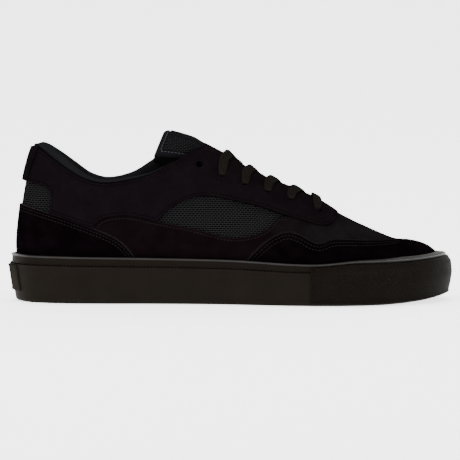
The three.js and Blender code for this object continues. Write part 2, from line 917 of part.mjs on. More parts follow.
function makeLaceBar() {
  const x = eyeletAt(0);
  const lateral = eyeletReach(-1, 0);
  const medial = eyeletReach(1, 0);
  const places = [lateral, lateral / 2, 0, medial / 2, medial];
  const bar = strand(places.map((reach) => onBed(laceBed, x, centreAt(x) + reach)));
  return bar.subtract(laceKeepOut);
}

// Finishes
const rubberSide = { color: 0x1c1b19, roughness: 0.5, metalness: 0 };
const suedeBlack = { color: 0x0b0a0b, roughness: 0.95, metalness: 0 };
const nubuck = { color: 0x151315, roughness: 0.9, metalness: 0 };
const canvas = { color: 0x1b1b1d, roughness: 0.9, metalness: 0 };
const meshCloth = { color: 0x212327, roughness: 0.85, metalness: 0 };
const laceCotton = { color: 0x1a1a1a, roughness: 0.9, metalness: 0 };

const shoe = new THREE.Group();

/** Adds one named piece to the shoe. */
function piece(name, body, finish) {
  const mesh = new THREE.Mesh(geometryOf(body), new THREE.MeshStandardMaterial(finish));
  mesh.name = name;
  shoe.add(mesh);
}

piece("outsole", makeOutsole(), rubberSide);
piece("foxing_tape", makeFoxing(), rubberSide);
piece("toe_bumper", makeToeBumper(), rubberSide);
piece("heel_label", makeHeelLabel(), rubberSide);
piece("upper", makeUpper(), meshCloth);
piece("heel_counter", makeHeelCounter(), suedeBlack);
piece("toe_mudguard", makeToeMudguard(), suedeBlack);
piece("vamp", makeVamp().subtract(counterCut).subtract(mudguardCut), canvas);
piece("quarter_lateral", makeQuarter("lateral"), nubuck);
piece("quarter_medial", makeQuarter("medial"), nubuck);
piece("heel_tab", makeHeelTab(), nubuck);
piece("collar_lining", makeCollarLining(), meshCloth);
piece("tongue", makeTongue(), meshCloth);
piece("insole", makeInsole(), meshCloth);
piece("lace_bar", makeLaceBar(), laceCotton);
for (let row = 0; row < crossings; row += 1) {
  piece("lace_crossing_" + (row + 1), makeCrossing(row), laceCotton);
}

// The origin lies on the floor under the middle of the shoe.
const bounds = new THREE.Box3().setFromObject(shoe);
const centre = bounds.getCenter(new THREE.Vector3());
shoe.position.set(-centre.x, -centre.y, -bounds.min.z);

export default shoe;
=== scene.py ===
"""A low-top skateboarding shoe for the right foot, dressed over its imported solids."""

import logging
import math
from collections.abc import Callable, Sequence
from dataclasses import dataclass, field
from enum import Enum

import bpy
import numpy as np
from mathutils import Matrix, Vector
from mathutils.bvhtree import BVHTree
from mathutils.kdtree import KDTree


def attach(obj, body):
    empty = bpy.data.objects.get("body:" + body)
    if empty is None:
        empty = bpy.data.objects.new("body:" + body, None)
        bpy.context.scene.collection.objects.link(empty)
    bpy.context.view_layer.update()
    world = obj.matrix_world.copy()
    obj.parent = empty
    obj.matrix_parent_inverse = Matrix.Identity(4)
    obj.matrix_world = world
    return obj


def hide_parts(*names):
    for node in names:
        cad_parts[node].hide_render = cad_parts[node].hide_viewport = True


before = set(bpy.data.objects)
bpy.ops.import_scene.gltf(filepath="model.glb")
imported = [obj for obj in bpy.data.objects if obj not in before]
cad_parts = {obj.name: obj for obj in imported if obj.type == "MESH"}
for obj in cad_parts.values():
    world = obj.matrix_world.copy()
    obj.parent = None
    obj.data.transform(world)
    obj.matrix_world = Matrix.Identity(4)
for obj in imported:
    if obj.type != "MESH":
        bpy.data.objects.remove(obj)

log = logging.getLogger("shoe")

Array = np.ndarray
MM = 0.001
# From the heel's end of the sole on its own middle line to the middle of the shoe's box.
SHIFT = np.array([-149.557, 0.787, 0.0])


class Side(Enum):
    """Which side of the foot a panel is on."""

    LATERAL = -1
    MEDIAL = 1


# Shape tables.


@dataclass(frozen=True)
class Table:
    """Rows of sizes along the shoe, read as smooth curves. The first column is along."""

    rows: tuple[tuple[float, ...], ...]

    def read(self, column: int, along: Array | float) -> Array:
        """Gives one column's smooth value.

        Args:
            column: Which column, from 1.
            along: Share of the sole's length.

        Returns:
            The value at each place.
        """
        grid = np.array(self.rows)
        x, y = grid[:, 0], grid[:, column]
        before = np.maximum(np.arange(len(x)) - 1, 0)
        after = np.minimum(np.arange(len(x)) + 1, len(x) - 1)
        slope = (y[after] - y[before]) / (x[after] - x[before])
        place = np.clip(along, x[0], x[-1])
        i = np.clip(np.searchsorted(x, place, side="right") - 1, 0, len(x) - 2)
        step = x[i + 1] - x[i]
        u = (place - x[i]) / step
        rise = y[i + 1] - y[i]
        a = slope[i] * step - rise
        b = rise - slope[i + 1] * step
        return y[i] + u * rise + u * (1 - u) * (a * (1 - u) + b * u)

    def edge(self, scale: tuple[float, float], column: int = 1, rise: float = 0) -> Array:
        """Gives a smooth side-view line through the rows.

        Args:
            scale: Millimetres for a share along and a share up.
            column: Which column goes up.
            rise: Millimetres to lift the line.

        Returns:
            Points of the line.
        """
        grid = np.array(self.rows)[:, [0, column]] * scale
        return spline(grid + (0, rise))


def spline(points: Array, per: int = 8) -> Array:
    """Gives an open smooth line through points.

    Args:
        points: Points to pass through.
        per: Steps for each span.

    Returns:
        The line's points.
    """
    p = np.vstack([points[:1], points, points[-1:]])
    out = []
    for k in range(1, len(p) - 2):
        for u in np.arange(per) / per:
            a, b = (p[k + 1] - p[k - 1]) / 2, (p[k + 2] - p[k]) / 2
            out.append(
                p[k] * (2 * u**3 - 3 * u**2 + 1)
                + a * (u**3 - 2 * u**2 + u)
                + p[k + 1] * (3 * u**2 - 2 * u**3)
                + b * (u**3 - u**2)
            )
    return np.array(out + [points[-1]])


def smooth(x: Array | float, low: float = 0, high: float = 1) -> Array:
    """Gives a soft step from 0 at low to 1 at high."""
    u = np.clip((np.asarray(x, float) - low) / (high - low), 0, 1)
    return u * u * (3 - 2 * u)


def bell(x: Array, middle: float, width: float) -> Array:
    """Gives a soft hump of height 1 round a middle."""
    return np.exp(-(((x - middle) / width) ** 2))


def unit(v: Array) -> Array:
    """Gives vectors of length one."""
    return v / np.maximum(np.linalg.norm(v, axis=-1, keepdims=True), 1e-12)


def inside(outline: Array, x: Array, z: Array) -> Array:
    """Gives the distance from a closed flat outline, positive inside it.

    Args:
        outline: Corners in order.
        x: First coordinate of the places asked for.
        z: Second coordinate.

    Returns:
        Signed distances.
    """
    best = np.full(np.shape(x), 1e12)
    within = np.zeros(np.shape(x), bool)
    for (ax, az), (bx, bz) in zip(outline, np.roll(outline, -1, axis=0)):
        dx, dz = bx - ax, bz - az
        t = np.clip(((x - ax) * dx + (z - az) * dz) / max(dx * dx + dz * dz, 1e-12), 0, 1)
        best = np.minimum(best, (x - ax - t * dx) ** 2 + (z - az - t * dz) ** 2)
        if dz:
            within ^= ((az > z) != (bz > z)) & (x < ax + (z - az) * dx / dz)
    return np.where(within, 1, -1) * np.sqrt(best)


# Sheets of material.


@dataclass
class Sheet:
    """A sheet of triangles on a form: where it lies, which way is out, and its own plan."""

    pos: Array
    nor: Array
    uv: Array
    tri: Array

    @classmethod
    def from_grid(cls, pos: Array, nor: Array, uv: Array, ring: bool = False) -> "Sheet":
        """Joins a grid of places into one sheet, with places that meet made one.

        Args:
            pos: Places, columns by rows.
            nor: Directions out.
            uv: The sheet's own plan.
            ring: Whether the last column meets the first.

        Returns:
            The sheet.
        """
        n, m = pos.shape[:2]
        ids = np.arange(n * m).reshape(n, m)
        if ring:
            ids = np.vstack([ids, ids[:1]])
        a, b = ids[:-1, :-1].ravel(), ids[1:, :-1].ravel()
        c, d = ids[1:, 1:].ravel(), ids[:-1, 1:].ravel()
        tri = np.vstack([np.stack([a, b, c], 1), np.stack([a, c, d], 1)])
        flat = pos.reshape(-1, 3)
        _, first, back = np.unique(
            np.round(flat, 3), axis=0, return_index=True, return_inverse=True
        )
        tri = back.ravel()[tri]
        good = (tri[:, 0] != tri[:, 1]) & (tri[:, 1] != tri[:, 2]) & (tri[:, 2] != tri[:, 0])
        return cls(
            flat[first], nor.reshape(-1, 3)[first], uv.reshape(-1, 2)[first], tri[good]
        )

    def _cross(self, marks: Array, weight: Callable[[Array, Array], Array]) -> "Sheet":
        """Splits marked edges and rebuilds the triangles round them.

        Args:
            marks: For each triangle, which of its three edges are split.
            weight: Gives the share of the second end at each split edge.

        Returns:
            The finer sheet.
        """
        t = self.tri
        ends = np.stack([t, np.roll(t, -1, axis=1)], 2)
        pairs = np.sort(ends[marks], axis=1)
        keys, back = np.unique(pairs, axis=0, return_inverse=True)
        w = weight(keys[:, 0], keys[:, 1])[:, None]
        i, j = keys[:, 0], keys[:, 1]
        pos = np.vstack([self.pos, self.pos[i] * (1 - w) + self.pos[j] * w])
        nor = np.vstack([self.nor, unit(self.nor[i] * (1 - w) + self.nor[j] * w)])
        uv = np.vstack([self.uv, self.uv[i] * (1 - w) + self.uv[j] * w])
        mid = np.full(t.shape, -1)
        mid[marks] = back.ravel() + len(self.pos)
        count = marks.sum(1)
        out = [t[count == 0]]
        for number in (1, 2):
            pick = marks if number == 1 else ~marks
            for k in range(3):
                rows = (count == number) & pick[:, k]
                v, m = np.roll(t[rows], -k, 1), np.roll(mid[rows], -k, 1)
                if number == 1:
                    out += [np.stack([v[:, 0], m[:, 0], v[:, 2]], 1)]
                    out += [np.stack([m[:, 0], v[:, 1], v[:, 2]], 1)]
                else:
                    out += [np.stack([v[:, 2], m[:, 2], m[:, 1]], 1)]
                    out += [np.stack([m[:, 2], v[:, 0], v[:, 1]], 1)]
                    out += [np.stack([m[:, 2], v[:, 1], m[:, 1]], 1)]
        v, m = t[count == 3], mid[count == 3]
        out += [m] + [np.stack([v[:, k], m[:, k], m[:, k - 1]], 1) for k in range(3)]
        return Sheet(pos, nor, uv, np.vstack(out))

    def refine(self, value: Array, level: float = 0) -> tuple["Sheet", Array]:
        """Puts a line of vertices where a value has a level.

        Args:
            value: Value at each vertex.
            level: The level of the line.

        Returns:
            The sheet with the line in it, and the value at its vertices.
        """
        v = value - level
        v = np.where(np.abs(v) < 1e-4, 1e-4, v)
        t = self.tri
        marks = (v[t] > 0) != (v[np.roll(t, -1, axis=1)] > 0)
        if not marks.any():
            return self, value
        made = self._cross(marks, lambda i, j: v[i] / (v[i] - v[j]))
        return made, np.concatenate([value, np.full(len(made.pos) - len(v), float(level))])

    def cut(self, value: Array) -> "Sheet":
        """Keeps the part where a value is above nought.

        Args:
            value: Value at each vertex.

        Returns:
            The part that is kept, with a clean edge.
        """
        v = np.where(np.abs(value) < 1e-4, 1e-4, value)
        made, v = self.refine(v)
        keep = v[made.tri].sum(1) > 0
        used = np.unique(made.tri[keep])
        back = np.full(len(made.pos), -1)
        back[used] = np.arange(len(used))
        return Sheet(made.pos[used], made.nor[used], made.uv[used], back[made.tri[keep]])

    def finer(self, near: Array, times: int = 1) -> "Sheet":
        """Halves the triangles near some places.

        Args:
            near: Rows of x, y, z and a reach in millimetres.
            times: How often to halve.

        Returns:
            The finer sheet.
        """
        made = self
        for _ in range(times):
            close = np.zeros(len(made.pos), bool)
            for x, y, z, reach in near:
                close |= np.linalg.norm(made.pos - (x, y, z), axis=1) < reach
            t = made.tri
            marks = close[t] & close[np.roll(t, -1, axis=1)]
            if marks.any():
                made = made._cross(marks, lambda i, j: np.full(len(i), 0.5))
        return made

    def border(self) -> Array:
        """Gives the edges with a triangle on one side only, in that triangle's order."""
        ends = np.stack([self.tri, np.roll(self.tri, -1, axis=1)], 2).reshape(-1, 2)
        key = np.sort(ends, axis=1)
        _, first, count = np.unique(key, axis=0, return_index=True, return_counts=True)
        return ends[first[count == 1]]

    def from_edge(self, keep: Callable[[Array], Array] | None = None) -> Array:
        """Gives each vertex's distance from the sheet's edge.

        Args:
            keep: Says which places of the edge count. All do without it.

        Returns:
            Distances in millimetres.
        """
        a, b = self.pos[self.border()].transpose(1, 0, 2)
        places = np.vstack([a + (b - a) * u for u in np.arange(4) / 4])
        if keep is not None:
            places = places[keep(places)]
        tree = KDTree(len(places))
        for i, place in enumerate(places):
            tree.insert(place, i)
        tree.balance()
        return np.array([tree.find(p)[2] for p in self.pos])

    def lines(self, value: Array, level: float) -> list[tuple[Array, Array]]:
        """Follows the lines where a value has a level.

        Args:
            value: Value at each vertex.
            level: The level.

        Returns:
            For each line its places and its directions out.
        """
        v = value - level
        v = np.where(np.abs(v) < 1e-5, 1e-5, v)
        ends = np.stack([self.tri, np.roll(self.tri, -1, axis=1)], 2)
        crossing = (v[ends[..., 0]] > 0) != (v[ends[..., 1]] > 0)
        links: dict[tuple[int, int], list[tuple[int, int]]] = {}
        for row, flag in zip(ends[crossing.sum(1) == 2], crossing[crossing.sum(1) == 2]):
            a, b = (tuple(sorted(map(int, e))) for e in row[flag])
            links.setdefault(a, []).append(b)
            links.setdefault(b, []).append(a)
        found = []
        left = set(links)
        starts = [k for k in sorted(links) if len(links[k]) == 1] + sorted(links)
        for start in starts:
            if start not in left:
                continue
            chain = [start]
            left.discard(start)
            while True:
                step = [k for k in links[chain[-1]] if k in left]
                if not step:
                    break
                chain.append(step[0])
                left.discard(step[0])
            i, j = np.array(chain).T
            w = (v[i] / (v[i] - v[j]))[:, None]
            found.append(
                (
                    self.pos[i] * (1 - w) + self.pos[j] * w,
                    unit(self.nor[i] * (1 - w) + self.nor[j] * w),
                )
            )
        return found

    def part(self, keep: Array) -> "Sheet":
        """Keeps the triangles whose vertices are all marked."""
        return Sheet(self.pos, self.nor, self.uv, self.tri[keep[self.tri].all(1)])

    def shell(
        self, name: str, low: Array | float, high: Array | float, edge: Array | None = None
    ) -> bpy.types.Object:
        """Makes a closed piece between two heights over the sheet.

        Args:
            name: The piece's name.
            low: Height of its back, in millimetres.
            high: Height of its face.
            edge: Distance from the edge, kept on the mesh for the finish.

        Returns:
            The piece.
        """
        n = len(self.pos)
        low = np.broadcast_to(np.asarray(low, float), n)[:, None]
        high = np.broadcast_to(np.asarray(high, float), n)[:, None]
        verts = np.vstack([self.pos + self.nor * high, self.pos + self.nor * low])
        a, b = self.border().T
        rim = np.vstack([np.stack([b, a, a + n], 1), np.stack([b, a + n, b + n], 1)])
        faces = np.vstack([self.tri, self.tri[:, ::-1] + n, rim])
        edge = np.zeros(n) if edge is None else edge
        return make_mesh(
            name, verts, faces, np.vstack([self.uv, self.uv]), np.concatenate([edge, edge * 0])
        )


def make_mesh(
    name: str, verts: Array, faces: Array, uv: Array | None = None, edge: Array | None = None
) -> bpy.types.Object:
    """Makes a smooth shaded piece from millimetres in the shoe's own frame.

    Args:
        name: The piece's name.
        verts: Places.
        faces: Corners of the faces.
        uv: Plan of each vertex in millimetres.
        edge: Distance from the piece's edge at each vertex.

    Returns:
        The piece, linked to the scene.
    """
    mesh = bpy.data.meshes.new(name)
    used = np.unique(np.asarray(faces))
    back = np.full(len(verts), -1)
    back[used] = np.arange(len(used))
    faces = back[np.asarray(faces)]
    verts = verts[used]
    mesh.from_pydata(((verts + SHIFT) * MM).tolist(), [], faces.tolist())
    if uv is not None:
        layer = mesh.uv_layers.new(name="plan")
        loops = np.zeros(len(mesh.loops), int)
        mesh.loops.foreach_get("vertex_index", loops)
        layer.data.foreach_set("uv", (uv[used][loops] * MM).astype(float).ravel())
    if edge is not None:
        mark = mesh.attributes.new("edge", "FLOAT", "POINT")
        mark.data.foreach_set("value", edge[used].astype(float))
    mesh.validate()
    mesh.shade_smooth()
    mesh.set_sharp_from_angle(angle=math.radians(50))
    piece = bpy.data.objects.new(name, mesh)
    bpy.context.scene.collection.objects.link(piece)
    return piece


def tube_mesh(
    name: str, rings: Array, uv: Array | None = None, closed: bool = False
) -> bpy.types.Object:
    """Makes a closed piece from rings of places.

    Args:
        name: The piece's name.
        rings: Rings by places by three.
        uv: Plan of each place, in millimetres.
        closed: Whether the last ring meets the first.

    Returns:
        The piece.
    """
    n, m = rings.shape[:2]
    ids = np.arange(n * m).reshape(n, m)
    around = np.hstack([ids, ids[:, :1]])
    if closed:
        around = np.vstack([around, around[:1]])
    a, b = around[:-1, :-1].ravel(), around[1:, :-1].ravel()
    c, d = around[1:, 1:].ravel(), around[:-1, 1:].ravel()
    faces = np.vstack([np.stack([a, d, c], 1), np.stack([a, c, b], 1)])
    if not closed:
        first = [[0, k + 1, k] for k in range(1, m - 1)]
        end = (n - 1) * m
        last = [[end, end + k, end + k + 1] for k in range(1, m - 1)]
        faces = np.vstack([faces, first, last])
    flat = rings.reshape(-1, 3)
    corners = flat[faces]
    volume = np.einsum("ij,ij->i", corners[:, 0], np.cross(corners[:, 1], corners[:, 2])).sum()
    if volume < 0:
        faces = faces[:, ::-1]
    return make_mesh(name, flat, faces, None if uv is None else uv.reshape(-1, 2))


# The last.


@dataclass
class Last:
    """The form that the upper is pulled over, and the sole's outline."""

    sole_length: float = 299
    ball_width: float = 105
    heel_width: float = 72
    toe_spring: float = 4.5
    spring_start: float = 240
    heel_height: float = 105.5
    instep_height: float = 109
    toe_height: float = 39.8
    feather_height: float = 12.3
    feather_inset: float = 4.6
    feather_tuck: float = 3
    tuck_top: float = 42
    columns: int = 480
    levels: int = 80
    outline: Table = Table(
        (
            (1.0, 1, -0.16, 0.16),
            (0.986, 1, 0.19, 0.44),
            (0.94, 1, 0.55, 0.7),
            (0.85, 1, 0.86, 0.87),
            (0.74, 1, 1.0, 0.97),
            (0.62, 1, 0.96, 0.91),
            (0.47, 0, 1.1, 0.94),
            (0.31, 0, 1.0, 0.93),
            (0.15, 0, 0.965, 0.955),
            (0.04, 0, 0.66, 0.66),
            (0.0, 0, 0.0, 0.0),
        )
    )
    ridge: Table = Table(
        (
            (0.13, 1.33, 0),
            (0.25, 1.25, 0),
            (0.34, 1.15, 0.004),
            (0.415, 1.06, 0.01),
            (0.44, 1, 0.012),
            (0.494, 0.853, 0.018),
            (0.532, 0.735, 0.022),
            (0.575, 0.63, 0.026),
            (0.66, 0.467, 0.036),
            (0.702, 0.375, 0.042),
            (0.742, 0.265, 0.048),
            (0.783, 0.176, 0.054),
            (0.82, 0.1, 0.06),
            (0.85, 0.045, 0.066),
            (0.876, 0, 0.07),
        )
    )
    fullness: Table = Table(((0, 2.05), (0.12, 2.35), (0.4, 2.7), (0.8, 2.5), (1, 2.6)))
    loop: Array = field(init=False)
    outward: Array = field(init=False)
    sheet: Sheet = field(init=False)
    grid: Array = field(init=False)
    grid_out: Array = field(init=False)

    def __post_init__(self) -> None:
        """Works the form out."""
        self.loop, self.outward = self._outline()
        self._sections()

    def centre(self, x: Array | float) -> Array:
        """Gives the ridge's place across at x."""
        return self.ridge.read(2, np.asarray(x) / self.sole_length) * self.ball_width

    def ridge_height(self, x: Array | float) -> Array:
        """Gives the ridge's height at x."""
        rise = self.ridge.read(1, np.asarray(x) / self.sole_length)
        return self.toe_height + rise * (self.instep_height - self.toe_height)

    def lift(self, x: Array | float) -> Array:
        """Gives the height that the toe spring adds at x."""
        u = (np.asarray(x) - self.spring_start) / (self.sole_length - self.spring_start)
        return self.toe_spring * np.maximum(0, u) ** 2

    def _outline(self) -> tuple[Array, Array]:
        """Gives the sole's outline and its directions out."""
        rows = np.array(self.outline.rows)
        width = np.where(rows[:, 1] == 1, self.ball_width, self.heel_width) / 2
        lateral = np.stack([rows[:, 0] * self.sole_length, -rows[:, 2] * width], 1)
        medial = np.stack([rows[:, 0] * self.sole_length, rows[:, 3] * width], 1)[-2:0:-1]
        p = np.vstack([lateral, medial])
        n = len(p)
        out = []
        for i in range(self.columns):
            k, u = divmod(i * n / self.columns, 1)
            a, b, c, d = (p[(int(k) + s) % n] for s in (-1, 0, 1, 2))
            t0, t1, t2 = (
                max(np.sum((q - r) ** 2) ** 0.25, 1e-4) for q, r in ((a, b), (b, c), (c, d))
            )
            m1 = ((b - a) / t0 - (c - a) / (t0 + t1) + (c - b) / t1) * t1
            m2 = ((c - b) / t1 - (d - b) / (t1 + t2) + (d - c) / t2) * t1
            out.append(
                b
                + m1 * u
                + (3 * (c - b) - 2 * m1 - m2) * u * u
                + (2 * (b - c) + m1 + m2) * u**3
            )
        loop = np.array(out)
        way = unit(np.roll(loop, -1, axis=0) - np.roll(loop, 1, axis=0))
        return loop, np.stack([-way[:, 1], way[:, 0]], 1)

    def inset(self, amount: Array | float) -> Array:
        """Gives the outline moved in by an amount."""
        return self.loop - self.outward * np.broadcast_to(amount, len(self.loop))[:, None]

    def _sections(self) -> None:
        """Builds the form's rings from the feather line to the ridge."""
        n, m = self.columns, self.levels
        foot = self.inset(self.feather_inset)
        partner = foot[(n - np.arange(n)) % n]
        share = (foot[:, 0] + partner[:, 0]) / (2 * self.sole_length)
        back, front = self.ridge.rows[0][0], self.ridge.rows[-1][0]
        ridge_x = (back + share * (front - back)) * self.sole_length
        top = np.stack([ridge_x, self.centre(ridge_x)], 1)
        power = self.fullness.read(1, share)[:, None]
        angle = (np.arange(m + 1) / m * np.pi / 2)[None, :]
        cos, sin = np.maximum(np.cos(angle), 0), np.sin(angle)
        reach = (cos**power + sin**power) ** (-1 / power)
        out, up = reach * cos, reach * sin
        out[:, -1], up[:, -1] = 0, 1
        spot = top[:, None, :] + (foot - top)[:, None, :] * out[..., None]
        base = self.feather_height + self.lift(spot[..., 0])
        height = up * (self.ridge_height(spot[..., 0]) - base)
        tucked = smooth(height, 0, self.tuck_top - self.feather_height)
        tuck = self.feather_tuck * (1 - tucked) * out
        flat = spot - self.outward[:, None, :] * tuck[..., None]
        pos = np.concatenate([flat, (base + height)[..., None]], 2)
        along = np.roll(pos, -1, axis=0) - np.roll(pos, 1, axis=0)
        rise = np.empty_like(pos)
        rise[:, 1:-1] = pos[:, 2:] - pos[:, :-2]
        rise[:, 0] = pos[:, 1] - pos[:, 0]
        rise[:, -1] = pos[:, -1] - pos[:, -2]
        nor = unit(np.cross(rise, along))
        half = n // 2
        step = np.clip(np.minimum(np.arange(n), n - np.arange(n)), 2, half - 2)
        nor[:, -1] = unit(nor[step, -1] + nor[(n - step) % n, -1])
        rows = np.linalg.norm(np.diff(pos, axis=1), axis=2)
        v = np.concatenate([np.zeros((n, 1)), np.cumsum(rows, axis=1)], 1)
        self.grid, self.grid_out = pos, nor
        self.sheet = Sheet.from_grid(pos, nor, np.stack([pos[..., 0], v], 2), ring=True)
        self.sheet.tri = self.sheet.tri[:, ::-1]

    def bed(self, offset: float) -> BVHTree:
        """Gives the form grown by an offset, for finding places on it."""
        verts = self.sheet.pos + self.sheet.nor * offset
        return BVHTree.FromPolygons(verts.tolist(), self.sheet.tri.tolist())

    def over(self, bed: BVHTree, x: float, y: float) -> tuple[Array, Array]:
        """Finds the place on a bed over a point seen from above.

        Args:
            bed: The bed.
            x: Place along.
            y: Place across.

        Returns:
            The place and the direction out.
        """
        hit, nor, _, _ = bed.ray_cast(Vector((x, y, 400)), Vector((0, 0, -1)))
        return np.array(hit), np.array(nor) * (1 if nor.z > 0 else -1)


# Finishes.


def linear(colour: str) -> tuple[float, float, float, float]:
    """Turns an sRGB hex value into linear light."""
    parts = [int(colour[k : k + 2], 16) / 255 for k in (1, 3, 5)]
    return (*(c / 12.92 if c <= 0.04045 else ((c + 0.055) / 1.055) ** 2.4 for c in parts), 1.0)


def add(
    tree: bpy.types.NodeTree, kind: str, inputs: dict | None = None, **settings: object
) -> bpy.types.Node:
    """Adds a node with its settings and links.

    Args:
        tree: The tree.
        kind: The node's type.
        inputs: A value or an output for each input, by name or number.
        settings: The node's own settings.

    Returns:
        The node.
    """
    made = tree.nodes.new(kind)
    for name, value in settings.items():
        setattr(made, name, value)
    for key, value in (inputs or {}).items():
        if isinstance(value, bpy.types.NodeSocket):
            tree.links.new(value, made.inputs[key])
        else:
            made.inputs[key].default_value = value
    return made


@dataclass(frozen=True)
class Finish:
    """What every finish has: colour, gloss and how it is started."""

    name: str
    colour: str
    roughness: float
    specular: float = 0.3
    sheen: float = 0.0

    def start(self) -> tuple[bpy.types.Material, bpy.types.NodeTree, bpy.types.Node]:
        """Makes the material with its shader."""
        material = bpy.data.materials.new(self.name)
        material.use_nodes = True
        tree = material.node_tree
        shader = tree.nodes["Principled BSDF"]
        shader.inputs["Base Color"].default_value = linear(self.colour)
        shader.inputs["Roughness"].default_value = self.roughness
        shader.inputs["Specular IOR Level"].default_value = self.specular
        shader.inputs["Sheen Weight"].default_value = self.sheen
        shader.inputs["Sheen Roughness"].default_value = 0.45
        return material, tree, shader

    def tone(
        self, tree: bpy.types.NodeTree, low: str, high: str, by: bpy.types.NodeSocket
    ) -> bpy.types.NodeSocket:
        """Mixes two colours by a value and gives the colour."""
        mixed = add(tree, "ShaderNodeMix", {0: by}, data_type="RGBA")
        mixed.inputs[6].default_value = linear(low)
        mixed.inputs[7].default_value = linear(high)
        return mixed.outputs[2]

    def math(
        self, tree: bpy.types.NodeTree, step: str, a: object, b: object = 0.0
    ) -> bpy.types.NodeSocket:
        """Does one step of arithmetic and gives its result."""
        return add(tree, "ShaderNodeMath", {0: a, 1: b}, operation=step).outputs[0]

    def plan(self, tree: bpy.types.NodeTree) -> Sequence[bpy.types.NodeSocket]:
        """Gives the piece's own plan: how far along, then how far across."""
        place = add(tree, "ShaderNodeUVMap", uv_map="plan").outputs[0]
        return add(tree, "ShaderNodeSeparateXYZ", {0: place}).outputs

    def turns(
        self, tree: bpy.types.NodeTree, way: bpy.types.NodeSocket, pitch: float
    ) -> bpy.types.NodeSocket:
        """Turns a way into an angle that comes round once in a pitch of millimetres."""
        return self.math(tree, "MULTIPLY", way, 2 * math.pi / (pitch * MM))

    def noise(self, tree: bpy.types.NodeTree, grain: float, detail: float = 3) -> object:
        """Gives even noise on the object's own millimetres."""
        place = add(tree, "ShaderNodeTexCoord").outputs["Object"]
        made = add(
            tree,
            "ShaderNodeTexNoise",
            {"Vector": place, "Scale": 1 / (grain * MM), "Detail": detail},
        )
        return made.outputs[0]

    def bump(
        self,
        tree: bpy.types.NodeTree,
        shader: bpy.types.Node,
        height: bpy.types.NodeSocket,
        depth: float,
        under: bpy.types.NodeSocket | None = None,
    ) -> bpy.types.NodeSocket:
        """Raises the surface by a height of so many millimetres."""
        made = add(
            tree, "ShaderNodeBump", {"Height": height, "Distance": depth * MM, "Strength": 1}
        )
        if under is not None:
            tree.links.new(under, made.inputs["Normal"])
        tree.links.new(made.outputs[0], shader.inputs["Normal"])
        return made.outputs[0]


@dataclass(frozen=True)
class Suede(Finish):
    """Split leather with a brushed nap: soft patches where the fibres lean differently, no
    highlight, and a band of another tone along the cut edge. A lighter band is the cut edge's
    own tone where the fibres show; a darker band is painted shade along an edge that stands
    over what lies below it. A warm one is darker and redder behind the place where warm_span
    ends, in metres along the shoe.
    """

    brushed: str = "#151113"
    cut: str = "#3a3435"
    fibre: float = 0.45
    patch: float = 11
    depth: float = 0.25
    cut_width: float = 0.55
    warm: bool = False
    warm_span: tuple[float, float] = (0.02, 0.06)
    warmth: tuple[float, float, float, float] = (0.66, 0.45, 0.5, 1.0)

    def make(self) -> bpy.types.Material:
        """Makes the material."""
        material, tree, shader = self.start()
        patch = self.noise(tree, self.patch, 2)
        fibre = self.noise(tree, self.fibre, 4)
        lean = add(
            tree, "ShaderNodeMapRange", {"Value": patch, "From Min": 0.35, "From Max": 0.65}
        ).outputs[0]
        half_fibre = self.math(tree, "MULTIPLY", fibre, 0.5)
        half_lean = self.math(tree, "MULTIPLY", lean, 0.5)
        both = self.math(tree, "ADD", half_fibre, half_lean)
        base = self.tone(tree, self.colour, self.brushed, both)
        if self.warm:
            place = add(tree, "ShaderNodeTexCoord").outputs["Object"]
            x = add(tree, "ShaderNodeSeparateXYZ", {0: place}).outputs[0]
            start, end = self.warm_span
            span = {"Value": x, "From Min": start, "From Max": end, "To Min": 1.0, "To Max": 0.0}
            back = add(tree, "ShaderNodeMapRange", span).outputs[0]
            warmed = add(tree, "ShaderNodeMix", {0: back, 6: base}, data_type="RGBA")
            warmed.blend_type = "MULTIPLY"
            warmed.inputs[7].default_value = self.warmth
            base = warmed.outputs[2]
        # Band along the cut edge: the edge's own tone where the cut colour is lighter, painted
        # shade where it is darker, as on the nubuck quarters and heel tab.
        edge = add(tree, "ShaderNodeAttribute", attribute_name="edge").outputs["Fac"]
        edge_tone_and_shade = add(
            tree,
            "ShaderNodeMapRange",
            {
                "Value": edge,
                "From Min": 0.0,
                "From Max": self.cut_width,
                "To Min": 1.0,
                "To Max": 0.0,
            },
        ).outputs[0]
        last = add(tree, "ShaderNodeMix", {0: edge_tone_and_shade}, data_type="RGBA")
        tree.links.new(base, last.inputs[6])
        last.inputs[7].default_value = linear(self.cut)
        tree.links.new(last.outputs[2], shader.inputs["Base Color"])
        self.bump(tree, shader, fibre, self.depth)
        return material


@dataclass(frozen=True)
class SpacerMesh(Finish):
    """Knitted spacer cloth: rows of staggered oval holes between soft threads, near-black inside:
    the dark layer below with painted shade in the holes.
    """

    # The holes' near-black is painted shade inside them, over the cloth's dark lower layer.
    hole: str = "#010101"
    across: float = 2.4
    row: float = 1.4
    thread: float = 0.34
    depth: float = 0.5

    def make(self) -> bpy.types.Material:
        """Makes the material."""
        material, tree, shader = self.start()
        place = add(tree, "ShaderNodeUVMap", uv_map="plan").outputs[0]
        holes = add(
            tree,
            "ShaderNodeTexBrick",
            {
                "Vector": place,
                "Color1": linear(self.hole),
                "Color2": linear(self.hole),
                "Mortar": linear(self.colour),
                "Scale": 1.0,
                "Mortar Size": self.thread * MM,
                "Mortar Smooth": 0.6,
                "Brick Width": self.across * MM,
                "Row Height": self.row * MM,
            },
            offset=0.5,
        )
        tree.links.new(holes.outputs["Color"], shader.inputs["Base Color"])
        below = self.bump(tree, shader, holes.outputs["Fac"], self.depth)
        self.bump(tree, shader, self.noise(tree, 0.5), 0.08, below)
        return material


